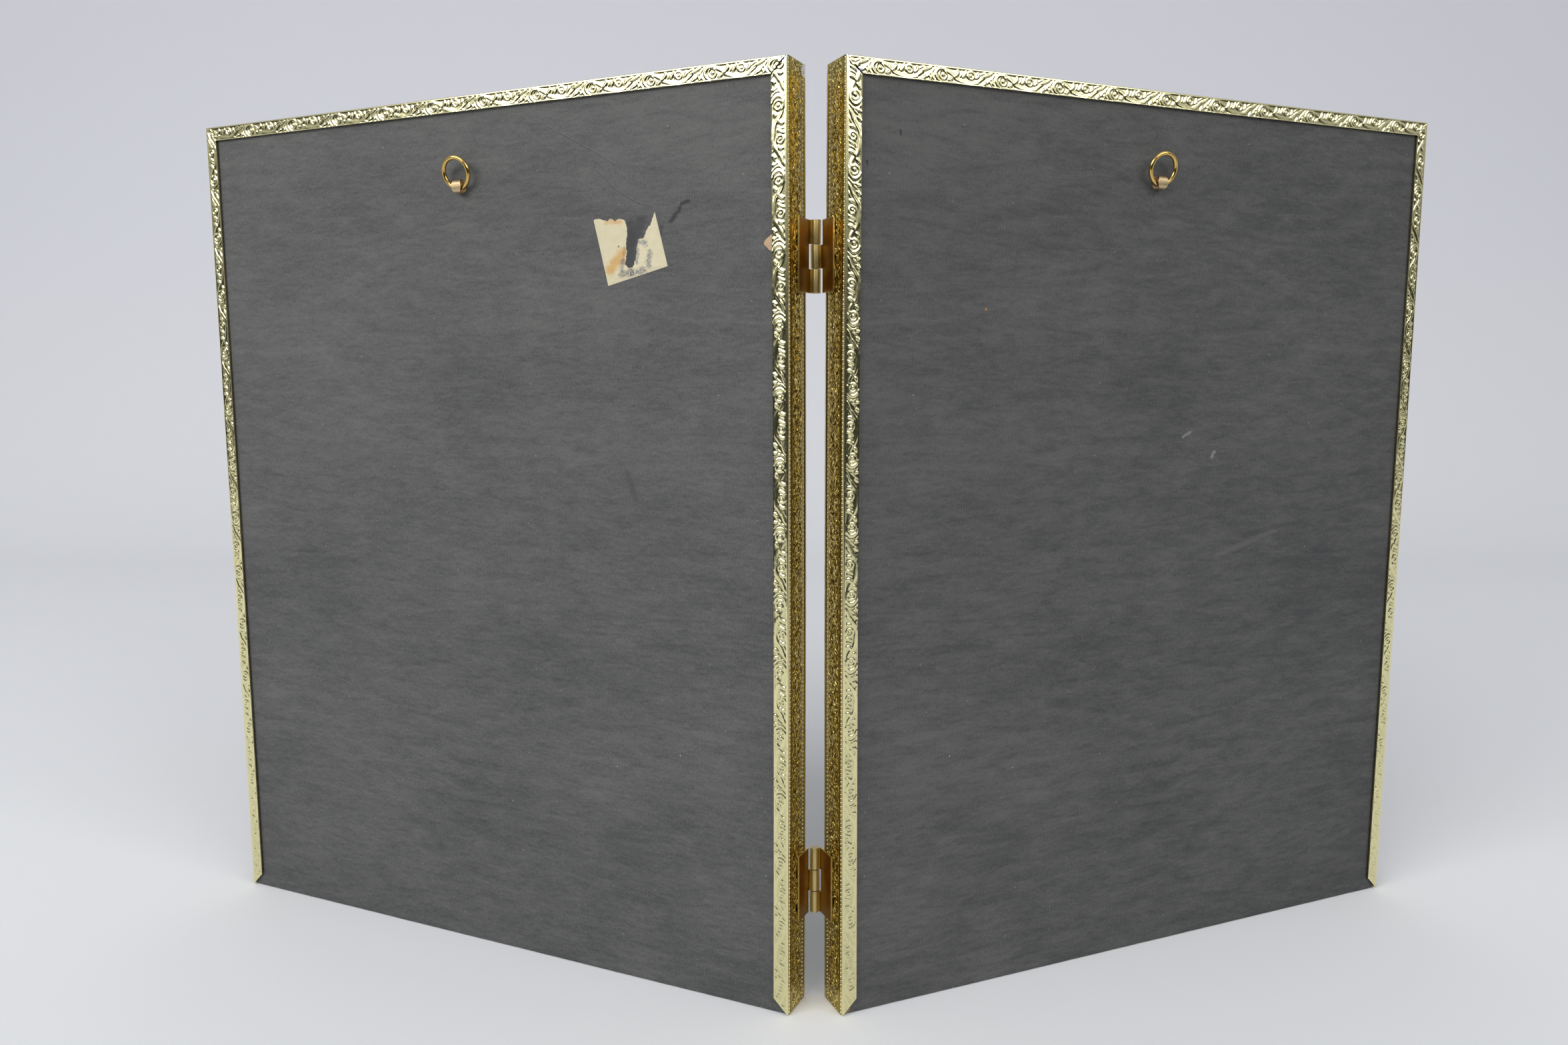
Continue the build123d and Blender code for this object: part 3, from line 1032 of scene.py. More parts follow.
@dataclass
class ReliefPatch:
    """A patch of relief that repeats along the strip, as shares of the stamping's depth."""

    period: float
    width: float
    cell: float = 0.05
    heights: np.ndarray = field(init=False)

    def __post_init__(self) -> None:
        """Starts with a flat ground."""
        self.columns = int(round(self.period / self.cell))
        self.rows = int(round(self.width / self.cell)) + 1
        self.heights = np.zeros((self.columns, self.rows))

    def _raise(self, along: float, across: float, half: float, height: float, sharpness: float) -> None:
        """Raises one round dome, wrapping round the patch's ends.

        Args:
            along: Where its middle lies along the strip.
            across: Where it lies across it.
            half: The dome's radius.
            height: Its height from 0 to 1.
            sharpness: The power that shapes its side.
        """
        reach = int(half / self.cell) + 2
        middle_p = int(round(along / self.cell))
        middle_q = int(round(across / self.cell))
        ps = np.arange(middle_p - reach, middle_p + reach + 1)
        qs = np.arange(max(0, middle_q - reach), min(self.rows, middle_q + reach + 1))
        if len(qs) == 0:
            return
        off_p = (ps * self.cell - along) / half
        off_q = (qs * self.cell - across) / half
        inside = np.clip(1 - off_p[:, None] ** 2 - off_q[None, :] ** 2, 0, 1)
        window = np.ix_(ps % self.columns, qs)
        self.heights[window] = np.maximum(self.heights[window], height * inside**sharpness)

    def draw(self, stroke: Stroke) -> None:
        """Raises a stroke.

        Args:
            stroke: The stroke.
        """
        line = smooth_line(stroke.places, 0.07)
        share = np.linspace(0, 1, len(line))
        start, end = stroke.start_share, stroke.end_share
        ease = np.where(share < 0.5, start + share * 4 * (1 - start), end + (1 - share) * 4 * (1 - end))
        for (along, across), width in zip(line, np.minimum(1.0, ease) * stroke.half_width):
            self._raise(along, across, width, stroke.height, 0.8)

    def coil(self, volute: Volute) -> None:
        """Raises a volute.

        Args:
            volute: The volute.
        """
        count = int(abs(volute.turns) * 90)
        share = np.linspace(0, 1, count)
        angle = math.radians(volute.start) + share * volute.turns * 2 * math.pi
        radius = volute.outer + (volute.inner - volute.outer) * share
        for a, r in zip(angle, radius):
            along = volute.centre[0] + r * math.cos(a)
            across = volute.centre[1] + r * math.sin(a)
            self._raise(along, across, volute.half_width, volute.height, 0.8)
        self._raise(*volute.centre, volute.boss, 1.0, 0.7)

    def soften(self, times: int) -> None:
        """Rounds off the foot of the relief.

        Args:
            times: How often each height is mixed with its neighbours.
        """
        for _ in range(times):
            h = self.heights
            h = (np.roll(h, 1, 0) + 2 * h + np.roll(h, -1, 0)) / 4
            padded = np.pad(h, ((0, 0), (1, 1)), mode="edge")
            self.heights = (padded[:, :-2] + 2 * padded[:, 1:-1] + padded[:, 2:]) / 4

    def sample(self, along: np.ndarray, across: np.ndarray) -> np.ndarray:
        """The relief at places along and across the strip.

        Args:
            along: Places along the strip.
            across: Places across the patch.

        Returns:
            Heights from 0 to 1.
        """
        p = along / self.cell
        q = np.clip(across / self.cell, 0, self.rows - 1.001)
        p0 = np.floor(p).astype(int)
        q0 = np.floor(q).astype(int)
        fp, fq = p - p0, q - q0
        a, b = p0 % self.columns, (p0 + 1) % self.columns
        h = self.heights
        return ((h[a, q0] * (1 - fp) + h[b, q0] * fp) * (1 - fq)
                + (h[a, q0 + 1] * (1 - fp) + h[b, q0 + 1] * fp) * fq)


@dataclass
class StampedStrip:
    """The strip that all the rails are cut from: a scroll on its flange and leaf bark on its wall."""

    period: float = 18.3
    drawn_period: float = 19.7
    drawn_width: float = 4.25
    flat_width: float = 3.62
    scroll_depth: float = 0.2
    bend_length: float = 1.2566
    bead_channel: Pair = (1.95, 0.3)
    bright_line: Triple = (3.75, 2.95, 0.33)
    bark_depth: float = 0.32
    bark_width: float = 7.2
    bark_start: float = 3.2
    bark_end: float = 9.6
    bark_strokes: int = 190
    bark_leans: Triple = (-24.0, 24.0, 4.0)
    bark_seed: int = 11
    dishes: tuple[Pair, ...] = ((3.2, 3.0), (12.6, 4.1))
    dish_reach: Pair = (1.3, 0.75)
    side_channel: Pair = (10.75, 0.28)
    last_line: Pair = (11.12, 0.2)
    rim_round: float = 3.1416
    rim_depth: float = 0.03
    rim_wave: float = 0.10
    scoop_length: float = 8.95
    flute_start: float = 0.06
    flute_span: float = 0.78
    flute_lean: float = 1.6
    flute_depth: float = 0.28
    flutes: int = 8
    scroll: ReliefPatch = field(init=False)
    bark: ReliefPatch = field(init=False)

    def __post_init__(self) -> None:
        """Draws both patches."""
        self.scroll = ReliefPatch(self.period, self.flat_width)
        self.bark = ReliefPatch(self.period, self.bark_width)
        self._draw_scroll()
        self._draw_bark()

    def _to_size(self, place: Pair) -> Pair:
        """A place in the drawing, to the strip's own size."""
        return place[0] * (self.period / self.drawn_period), place[1] * (self.flat_width / self.drawn_width)

    def _fit(self, stroke: Stroke) -> Stroke:
        """A stroke of the drawing, to the strip's own size."""
        places = tuple(self._to_size(place) for place in stroke.places)
        return replace(stroke, places=places, half_width=stroke.half_width * 0.9)

    def _draw_scroll(self) -> None:
        """Draws the vine with its two volutes, arches and leaves."""
        strokes = [
            Stroke(((-0.6, 0.25), (-1.65, 0.75), (-2.35, 1.9), (-2.2, 3.0), (-1.4, 3.8), (-0.3, 4.2),
                    (0.7, 4.15)), 0.50, 1.0, 0.35, 0.25),
            Stroke(((-2.3, 0.10), (-3.2, 0.9), (-3.7, 2.0), (-3.45, 3.1), (-2.5, 4.15)),
                   0.24, 0.85, 0.6, 0.6),
            Stroke(((1.8, 0.9), (2.5, 1.2), (2.85, 1.7)), 0.50, 1.0, 0.5, 0.4),
            Stroke(((3.5, 1.9), (4.3, 2.6), (4.75, 3.3), (4.6, 4.0)), 0.50, 1.0, 0.3, 0.3),
            Stroke(((5.4, 2.1), (5.9, 2.9), (6.1, 3.9)), 0.20, 0.7),
            Stroke(((6.3, 2.0), (6.9, 2.9), (7.4, 4.0)), 0.40, 1.0, 0.3, 0.4),
            Stroke(((10.6, 2.1), (11.4, 2.8), (11.3, 3.8)), 0.48, 1.0, 0.3, 0.3),
            Stroke(((12.0, 3.2), (12.9, 3.8), (13.9, 4.0)), 0.20, 0.65),
            Stroke(((12.8, 2.8), (14.1, 3.35), (16.0, 4.1)), 0.32, 1.0, 0.5, 0.3),
            Stroke(((13.0, 0.35), (13.6, 0.85), (13.9, 1.4)), 0.50, 1.0, 0.5, 0.3),
            Stroke(((14.1, 1.0), (14.9, 1.65), (15.7, 2.8)), 0.22, 0.85),
            Stroke(((15.5, 0.3), (15.7, 1.0), (15.3, 1.6)), 0.40, 0.9, 0.6, 0.2),
            Stroke(((4.2, 0.35), (6.2, 0.30), (8.0, 0.15)), 0.18, 0.55),
            Stroke(((10.4, 0.25), (11.4, 0.6), (12.4, 0.4)), 0.18, 0.55),
        ]
        stem = smooth_line(((0.9, 3.55), (1.9, 3.3), (3.0, 2.65), (4.2, 1.55), (5.6, 0.98), (7.4, 0.74),
                            (9.2, 0.55), (10.8, 0.95), (12.0, 1.85), (13.2, 2.75)), 0.5)
        turn = np.gradient(stem, axis=0)
        turn = turn / np.linalg.norm(turn, axis=1)[:, None]
        square = np.stack([-turn[:, 1], turn[:, 0]], 1)
        for offset, width in ((0.24, 0.24), (-0.24, 0.22)):
            strokes.append(Stroke(tuple(map(tuple, stem + offset * square)), width, 0.82, 0.8, 0.8))
        inner = smooth_line(((-1.7, 0.35), (-2.55, 1.1), (-2.85, 2.0), (-2.7, 3.0), (-1.9, 4.0)), 0.1)
        outer = smooth_line(((-2.1, 0.1), (-2.9, 0.9), (-3.3, 2.0), (-3.05, 3.05), (-2.2, 4.15)), 0.1)
        for share in np.linspace(0.06, 0.94, 11):
            a = inner[int(share * (len(inner) - 1))]
            b = outer[int(share * (len(outer) - 1))]
            strokes.append(Stroke((tuple(a), tuple(b)), 0.13, 0.6, 1.0, 1.0))
        for stroke in strokes:
            self.scroll.draw(self._fit(stroke))
        self.scroll.coil(Volute(self._to_size((0.05, 2.25)), outer=1.36, inner=0.92, start=40.0, turns=1.1,
                                half_width=0.25, boss=0.52))
        self.scroll.coil(Volute(self._to_size((8.95, 2.75)), outer=1.12, inner=0.74, start=200.0, turns=-1.1,
                                half_width=0.22, boss=0.40))
        self.scroll.soften(4)

    def _draw_bark(self) -> None:
        """Draws long leaf strokes that lean along the wall, round two smooth dishes."""
        chance = np.random.default_rng(self.bark_seed)
        half_period = self.period / 2
        strokes = 0
        while strokes < self.bark_strokes:
            along, across = chance.uniform(0, self.period), chance.uniform(0.0, 6.8)
            near = [((along - p + half_period) % self.period - half_period, across - q)
                    for p, q in self.dishes]
            if any((a / self.dish_reach[0]) ** 2 + (b / self.dish_reach[1]) ** 2 < 1 for a, b in near):
                continue
            lean = math.radians(chance.choice(self.bark_leans) + chance.normal(0.0, 8.0))
            half = chance.uniform(0.5, 1.35)
            bend = chance.uniform(-0.18, 0.18)
            ends = [(along + k * half * math.cos(lean), across + k * half * math.sin(lean))
                    for k in (-1, 1)]
            middle = (along - bend * math.sin(lean), across + bend * math.cos(lean))
            height = chance.uniform(0.55, 1.0)
            half_width = chance.uniform(0.12, 0.22)
            self.bark.draw(Stroke((ends[0], middle, ends[1]), half_width, height, 0.3, 0.3))
            strokes += 1
        self.bark.soften(1)

    def drop(self, zone: Zone, along: np.ndarray, across: float) -> np.ndarray:
        """How far the stamping lies below the strip's highest face.

        Args:
            zone: The band of the strip.
            along: Places along the strip.
            across: The place across that band.

        Returns:
            Depths in millimetres, none above zero.
        """
        if zone is Zone.FLANGE:
            edge = 0.85 * bell(across, 0.0, 0.16)
            height = np.maximum(self.scroll.sample(along, np.full_like(along, across)), edge)
            return -self.scroll_depth * (1 - height)
        if zone is Zone.BEND:
            line = bell(across / self.bend_length, 0.42, 0.2)
            return np.full_like(along, -self.scroll_depth * (1 - line) * 0.8)
        if zone is Zone.WALL:
            return self._wall_drop(along, across)
        if zone is Zone.RIM:
            wave = 0.5 + 0.5 * np.cos(along * 2 * math.pi / (self.period / 2))
            return -self.rim_depth - self.rim_wave * wave * math.sin(math.pi * across / self.rim_round) ** 2
        if zone is Zone.SCOOP:
            return self._scoop_drop(along, across)
        return np.zeros_like(along)

    def _wall_drop(self, along: np.ndarray, depth: float) -> np.ndarray:
        """The wall's bands: bead channel, bright line, bark, small bead channel and a last line.

        Args:
            along: Places along the strip.
            depth: The place down the wall.

        Returns:
            Depths in millimetres, none above zero.
        """
        channel_end, channel_depth = self.bead_channel
        line_end, line_middle, line_width = self.bright_line
        side_end, side_depth = self.side_channel
        if depth < channel_end:
            return np.full_like(along, -channel_depth)
        if depth < line_end:
            streak = 0.75 + 0.25 * np.sin(along * 1.9 + 1.3 * np.sin(along * 0.63))
            return -self.bark_depth * (1 - bell(depth, line_middle, line_width) * streak)
        if depth < self.bark_end:
            fade = min(1.0, (self.bark_end - depth) / 0.25)
            height = self.bark.sample(along, np.full_like(along, depth - self.bark_start))
            return -self.bark_depth * (1 - height * fade)
        if depth < side_end:
            return np.full_like(along, -side_depth)
        return np.full_like(along, -side_depth * (1 - bell(depth, *self.last_line)))

    def _scoop_drop(self, along: np.ndarray, across: float) -> np.ndarray:
        """Leaning flutes between two plain margins.

        Args:
            along: Places along the strip.
            across: The place across the scoop.

        Returns:
            Depths in millimetres, none above zero.
        """
        share = across / self.scoop_length
        inside = min(1.0, max(0.0, (share - self.flute_start) / self.flute_span))
        band = max(0.0, math.sin(math.pi * inside)) ** 0.5
        flute = np.abs(np.sin((along + self.flute_lean * share) * math.pi / (self.period / self.flutes)))
        return -self.flute_depth * band * (1 - flute**0.7)


class Row(NamedTuple):
    """A line of points along a rail, at one place of its section, with the way outwards there."""

    across: float
    depth: float
    out_across: float
    out_depth: float
    zone: Zone | None
    place: float
    columns: int


@dataclass(frozen=True)
class Section:
    """The moulding's section: across from its outer wall and deep from its rear plane, in millimetres."""

    flange: float = 4.5
    flange_rows: int = 21
    bend: float = 0.8
    bend_rows: int = 7
    backless_start: float = 3.9
    wall_step: float = 0.235
    rim_start: float = 11.4
    rim: float = 2.0
    rim_rows: int = 8
    front: float = 13.4
    scoop_run: Pair = (5.8, -6.8)
    scoop_sag: float = 0.9
    scoop_rows: int = 19
    lip: Triple = (7.8, 8.4, 9.0)
    lip_depth: float = 6.6


# How thick the skin is in each zone, and how many outer rows one inner row stands for
INNER_SKIN = {Zone.FLANGE: (0.60, 5), Zone.BEND: (0.60, 2), Zone.WALL: (0.60, 7), Zone.RIM: (0.42, 2),
              Zone.SCOOP: (0.48, 4), Zone.LIP: (0.38, 1)}
TONE_OF_ZONE = {Zone.FLANGE: 0.0, Zone.BEND: 0.05, Zone.WALL: 0.5, Zone.RIM: 0.8, Zone.SCOOP: 0.2,
                Zone.LIP: 0.2, None: 0.5}
# Solder near the corner beside the hinges: across, deep, up and reach
SOLDER_SPOTS = {
    Side.LEFT: ((0.4, 11.2, 255.2, 2.3), (0.4, 0.2, 256.6, 1.1), (1.4, 0.0, 255.5, 0.8)),
    Side.RIGHT: ((0.4, 0.2, 256.6, 0.9), (3.6, 0.0, 253.4, 1.3), (0.4, 12.0, 256.0, 1.2)),
}


@dataclass
class Rail:
    """One moulding of a frame, as a closed skin whose outer face carries the stamping."""

    side: Side
    where: RailPlace
    strip: StampedStrip
    phase: float
    columns: int
    slit_share: float = 0.0
    slit_half: float = 0.28
    slit_depth: float = 0.9
    slit_fade: float = 0.12
    mitre_drop: float = -0.1
    mitre_fade: float = 0.45
    set_in: float = 0.02
    bow: float = 0.3
    bow_forward: float = 0.32
    section: Section = Section()

    @property
    def length(self) -> float:
        """The rail's outer length."""
        upright = self.where in (RailPlace.INNER_STILE, RailPlace.OUTER_STILE)
        return FRAME_HEIGHT if upright else FRAME_WIDTH

    @property
    def runs_back(self) -> bool:
        """Whether the pattern, which goes round clockwise seen from behind, runs against the rail."""
        forward = self.where in (RailPlace.INNER_STILE, RailPlace.TOP_RAIL)
        return forward == (self.side is Side.LEFT)

    def in_frame(self, along: np.ndarray, across: np.ndarray, depth: np.ndarray) -> np.ndarray:
        """Places on the rail, in the frame's own axes.

        Args:
            along: Places along the rail.
            across: How far they lie from its outer wall.
            depth: How far they lie from the rear plane.

        Returns:
            Rows of x, y, z.
        """
        if self.where is RailPlace.INNER_STILE:
            bow = self.bow * np.sin(np.pi * np.clip(along / FRAME_HEIGHT, 0, 1))
            return np.stack([across + self.set_in - bow, depth + bow * self.bow_forward, along], -1)
        if self.where is RailPlace.OUTER_STILE:
            return np.stack([FRAME_WIDTH - across, depth, along], -1)
        if self.where is RailPlace.TOP_RAIL:
            return np.stack([along, depth, FRAME_HEIGHT - across], -1)
        return np.stack([along, depth, across], -1)

    def _outer_rows(self) -> list[Row]:
        """The outer face's rows, from the rear flange round to the lip.

        Returns:
            The rows in order.
        """
        part, full = self.section, self.columns
        half, quarter = full // 2, full // 4
        backless = self.where is RailPlace.BOTTOM_RAIL
        rows = []
        if not backless:
            for a in np.linspace(part.flange, part.bend, part.flange_rows)[:-1]:
                rows.append(Row(a, 0.0, 0.0, -1.0, Zone.FLANGE, part.flange - a, full))
            for turn in np.linspace(0, math.pi / 2, part.bend_rows)[:-1]:
                sine, cosine = math.sin(turn), math.cos(turn)
                rows.append(Row(part.bend - part.bend * sine, part.bend - part.bend * cosine, -sine, -cosine,
                                Zone.BEND, part.bend * turn, full))
        low = part.backless_start if backless else part.bend
        count = int((part.rim_start - low) / part.wall_step)
        for y in np.linspace(low, part.rim_start, count)[:-1]:
            rows.append(Row(0.0, y, -1.0, 0.0, Zone.WALL, y, half))
        for turn in np.linspace(0, math.pi / 2, part.rim_rows)[:-1]:
            sine, cosine = math.sin(turn), math.cos(turn)
            rows.append(Row(part.rim - part.rim * cosine, part.rim_start + part.rim * sine, -cosine, sine,
                            Zone.RIM, part.rim * turn, quarter))
        run = np.array(part.scoop_run)
        reach = np.linalg.norm(run)
        out = np.array([-run[1], run[0]]) / reach
        for share in np.linspace(0, 1, part.scoop_rows)[:-1]:
            sag = 4 * part.scoop_sag * share * (1 - share)
            middle = np.array([part.rim, part.front]) + run * share + out * -sag
            slope = 4 * part.scoop_sag * (1 - 2 * share) / reach
            normal = out + slope * run / reach
            normal = normal / np.linalg.norm(normal)
            rows.append(Row(*middle, *normal, Zone.SCOOP, share * reach, quarter))
        for a in part.lip:
            rows.append(Row(a, part.lip_depth, 0.0, 1.0, Zone.LIP, a - part.lip[0], quarter))
        return rows

    def _inner_rows(self, outer: list[Row]) -> list[Row]:
        """The plain inner face's rows, from the lip back to the flange.

        Args:
            outer: The outer face's rows.

        Returns:
            The rows in order.
        """
        rows = []
        last = len(outer) - 1
        for index in range(last, -1, -1):
            a, y, out_a, out_y, zone, _, _ = outer[index]
            thick, step = INNER_SKIN[zone]
            if index in (0, last) or index % step == 0:
                rows.append(Row(a - out_a * thick, y - out_y * thick, 0.0, 0.0, None, 0.0,
                                self.columns // 4))
        return rows

    def _gap(self, across: float, depth: float) -> float:
        """Half the open slit at the top mitre beside the hinges.

        Args:
            across: How far a row lies from the outer wall.
            depth: How deep it lies.

        Returns:
            Half the slit's width there.
        """
        if self.slit_share <= 0 or depth > self.slit_depth:
            return 0.0
        from_inside = (self.section.flange - across) / self.section.flange
        if from_inside < 0:
            return self.slit_half
        return self.slit_half * min(1.0, max(0.0, (self.slit_share - from_inside) / self.slit_fade))

    def _row_places(self, row: Row) -> tuple[np.ndarray, np.ndarray]:
        """One row's places and their relief.

        Args:
            row: The row.

        Returns:
            The places, and how high the stamping stands at each, up to 1.
        """
        a, y, out_a, out_y, zone, place, count = row
        gap_low = self._gap(a, y) if self.where is RailPlace.TOP_RAIL else 0.0
        gap_high = self._gap(a, y) if self.where is RailPlace.INNER_STILE else 0.0

        def drop(along: np.ndarray) -> np.ndarray:
            """The stamping's depth along the row, eased to plain metal at the mitres.

            Args:
                along: Places along the rail.

            Returns:
                Depths in millimetres, none above zero.
            """
            if zone is None:
                return np.zeros_like(along)
            pattern = -(along - self.phase) if self.runs_back else along - self.phase
            inside = np.minimum(along - a, self.length - a - along) / self.mitre_fade
            share = np.clip(inside, 0, 1)
            flat = self.mitre_drop if zone is not Zone.LIP else 0.0
            return flat + (self.strip.drop(zone, pattern, place) - flat) * share * share * (3 - 2 * share)

        ends = np.array([a, self.length - a])
        reach = a + drop(ends) * out_a
        low, high = reach[0] + gap_low, self.length - reach[1] - gap_high
        along = low + np.linspace(0, 1, count + 1) * (high - low)
        depth = drop(along)
        places = self.in_frame(along, a + depth * out_a, y + depth * out_y)
        deepest = self.strip.scroll_depth if zone is Zone.FLANGE else self.strip.bark_depth
        relief = 1 + depth / deepest if zone is not None else np.zeros_like(depth)
        return places, relief

    def _soldered(self, places: np.ndarray) -> np.ndarray:
        """How much solder shows at places near the corner beside the hinges.

        Args:
            places: Rows of x, y, z in the frame's own axes.

        Returns:
            Shares from 0 up.
        """
        most = np.zeros(len(places))
        if self.where in (RailPlace.INNER_STILE, RailPlace.TOP_RAIL):
            for *spot, reach in SOLDER_SPOTS[self.side]:
                gap = np.linalg.norm(places - np.array(spot), axis=1) / reach
                most = np.maximum(most, np.clip(1.25 - gap, 0, 1))
        return most

    def build(self) -> bpy.types.Object:
        """Makes the rail and fits it over its solid.

        Returns:
            The piece.
        """
        outer = self._outer_rows()
        rows = outer + self._inner_rows(outer)
        places, relief, index, start = [], [], [], 0
        for row in rows:
            row_places, row_relief = self._row_places(row)
            places.append(row_places)
            relief.append(row_relief)
            index.append(np.arange(start, start + len(row_places)))
            start += len(row_places)
        faces = []
        for first, second in zip(index, index[1:] + index[:1]):
            faces.extend(bridge(first, second))
        faces.append([int(row[0]) for row in index])
        faces.append([int(row[-1]) for row in index][::-1])
        node = f"{self.side.word}_{self.where.value}"
        mesh = mesh_of(node, self.side, np.vstack(places), faces)
        counts = [len(p) for p in places]
        lengths = [np.linspace(0, self.length, count) + self.phase for count in counts]
        depths = [row.place if row.zone is Zone.WALL else 0.0 for row in rows]
        set_share(mesh, "relief", np.clip(np.concatenate(relief), 0, 1))
        set_share(mesh, "strip_place", np.repeat([TONE_OF_ZONE[row.zone] for row in rows], counts))
        set_share(mesh, "solder", self._soldered(np.vstack(places)))
        set_share(mesh, "along_strip", np.concatenate(lengths))
        set_share(mesh, "across_strip", np.repeat(depths, counts))
        fitting = Fitting(self.side.word + "_frame", "gilt_moulding", GILT, (node,))
        return fitting.fit(mesh, node + "_moulding", 80.0)


def bridge(first: np.ndarray, second: np.ndarray) -> list[list[int]]:
    """Faces between two rows whose column counts are equal or go evenly into each other.

    Args:
        first: The numbers of one row's points.
        second: The numbers of the next row's points.

    Returns:
        The numbers of each face's corners.
    """
    if len(first) == len(second):
        return np.stack([first[:-1], first[1:], second[1:], second[:-1]], 1).tolist()
    if len(first) < len(second):
        return [face[::-1] for face in bridge(second, first)]
    share = (len(first) - 1) // (len(second) - 1)
    faces = []
    for k in range(len(second) - 1):
        run = first[k * share:(k + 1) * share + 1].tolist()
        faces.append(run + [int(second[k + 1]), int(second[k])])
    return faces


# Bead rows


@dataclass(frozen=True)
class BeadRow:
    """Where a row of beads runs on the section and how large its beads are, in millimetres."""

    name: str
    spacing: float
    large: float
    small: float
    across: float
    depth: float
    seed: int
    on_bottom: bool = True


BEAD_ROWS = (
    BeadRow("rear", spacing=0.585, large=0.36, small=0.22, across=0.38, depth=1.28, seed=3, on_bottom=False),
    BeadRow("side", spacing=1.17, large=0.26, small=0.26, across=0.29, depth=10.2, seed=5),
    BeadRow("sight", spacing=1.3, large=0.42, small=0.42, across=8.3, depth=6.55, seed=7),
)


@dataclass
class Beading:
    """A row of beads along the rails of a frame, set out by Geometry Nodes."""

    side: Side
    row: BeadRow
    rails: tuple[Rail, ...]
    from_mitre: float = 0.35
    path_points: int = 41

    def _tree(self) -> bpy.types.NodeTree:
        """The node tree that sets beads out along edges, made once.

        Returns:
            The node tree.
        """
        known = bpy.data.node_groups.get("bead_row")
        if known is not None:
            return known
        tree = bpy.data.node_groups.new("bead_row", "GeometryNodeTree")
        tree.interface.new_socket("Geometry", in_out="INPUT", socket_type="NodeSocketGeometry")
        for name in ("Bead spacing", "Large bead radius", "Small bead radius"):
            tree.interface.new_socket(name, in_out="INPUT", socket_type="NodeSocketFloat")
        tree.interface.new_socket("Seed", in_out="INPUT", socket_type="NodeSocketInt")
        tree.interface.new_socket("Finish", in_out="INPUT", socket_type="NodeSocketMaterial")
        tree.interface.new_socket("Geometry", in_out="OUTPUT", socket_type="NodeSocketGeometry")
        bench = Bench(tree)
        given = bench.node("NodeGroupInput")
        curve = bench.node("GeometryNodeMeshToCurve", None, {"Mesh": given.out("Geometry")})
        links = {"Curve": curve.out("Curve"), "Length": given.out("Bead spacing")}
        points = bench.node("GeometryNodeCurveToPoints", {"mode": "LENGTH"}, links)
        number = bench.node("GeometryNodeInputIndex").out("Index")
        odd = bench.node("ShaderNodeMath", {"operation": "MODULO"}, {0: number, 1: 2.0}).out("Value")
        large, small = given.out("Large bead radius"), given.out("Small bead radius")
        links = {2: 0.93, 3: 1.04, "ID": number, "Seed": given.out("Seed")}
        vary = bench.node("FunctionNodeRandomValue", {"data_type": "FLOAT"}, links).out(1)
        radius = (large + (small - large) * odd) * vary
        ball = bench.node("GeometryNodeMeshUVSphere", None, {"Segments": 8, "Rings": 5, "Radius": 1.0})
        smooth = bench.node("GeometryNodeSetShadeSmooth", None, {0: ball.out("Mesh")})
        links = {"Points": points.out("Points"), "Instance": smooth.out(0), "Scale": radius}
        beads = bench.node("GeometryNodeInstanceOnPoints", None, links)
        real = bench.node("GeometryNodeRealizeInstances", None, {0: beads.out("Instances")})
        links = {"Geometry": real.out(0), "Material": given.out("Finish")}
        dressed = bench.node("GeometryNodeSetMaterial", None, links)
        bench.node("NodeGroupOutput", None, {0: dressed.out("Geometry")})
        return tree

    def build(self) -> bpy.types.Object:
        """Makes the row of beads and fits it on the frame.

        Returns:
            The piece.
        """
        row = self.row
        name = f"{self.side.word}_{row.name}_beading"
        places, edges = [], []
        for number, rail in enumerate(self.rails):
            low = row.across + self.from_mitre
            along = np.linspace(low, rail.length - low, self.path_points)
            across, depth = np.full_like(along, row.across), np.full_like(along, row.depth)
            places.append(rail.in_frame(along, across, depth))
            start = number * self.path_points
            edges.extend((k, k + 1) for k in range(start, start + self.path_points - 1))
        line = bpy.data.meshes.new(name + "_line")
        line.from_pydata(in_shared_axes(self.side, np.vstack(places)).tolist(), edges, [])
        host = put_in_scene(name + "_line", line)
        modifier = host.modifiers.new("beads", "NODES")
        modifier.node_group = self._tree()
        values = {"Bead spacing": row.spacing * MM, "Large bead radius": row.large * MM,
                  "Small bead radius": row.small * MM, "Seed": row.seed, "Finish": GILT.material()}
        for item in modifier.node_group.interface.items_tree:
            if item.in_out == "INPUT" and item.name in values:
                modifier[item.identifier] = values[item.name]
        graph = bpy.context.evaluated_depsgraph_get()
        mesh = bpy.data.meshes.new_from_object(host.evaluated_get(graph))
        host.modifiers.remove(modifier)
        bpy.data.objects.remove(host)
        set_share(mesh, "relief", np.ones(len(mesh.vertices)))
        set_share(mesh, "strip_place", np.full(len(mesh.vertices), 0.1))
        fitting = Fitting(self.side.word + "_frame", "gilt_moulding", GILT)
        return fitting.fit(mesh, name, 180.0)


# Boards and what hangs on them


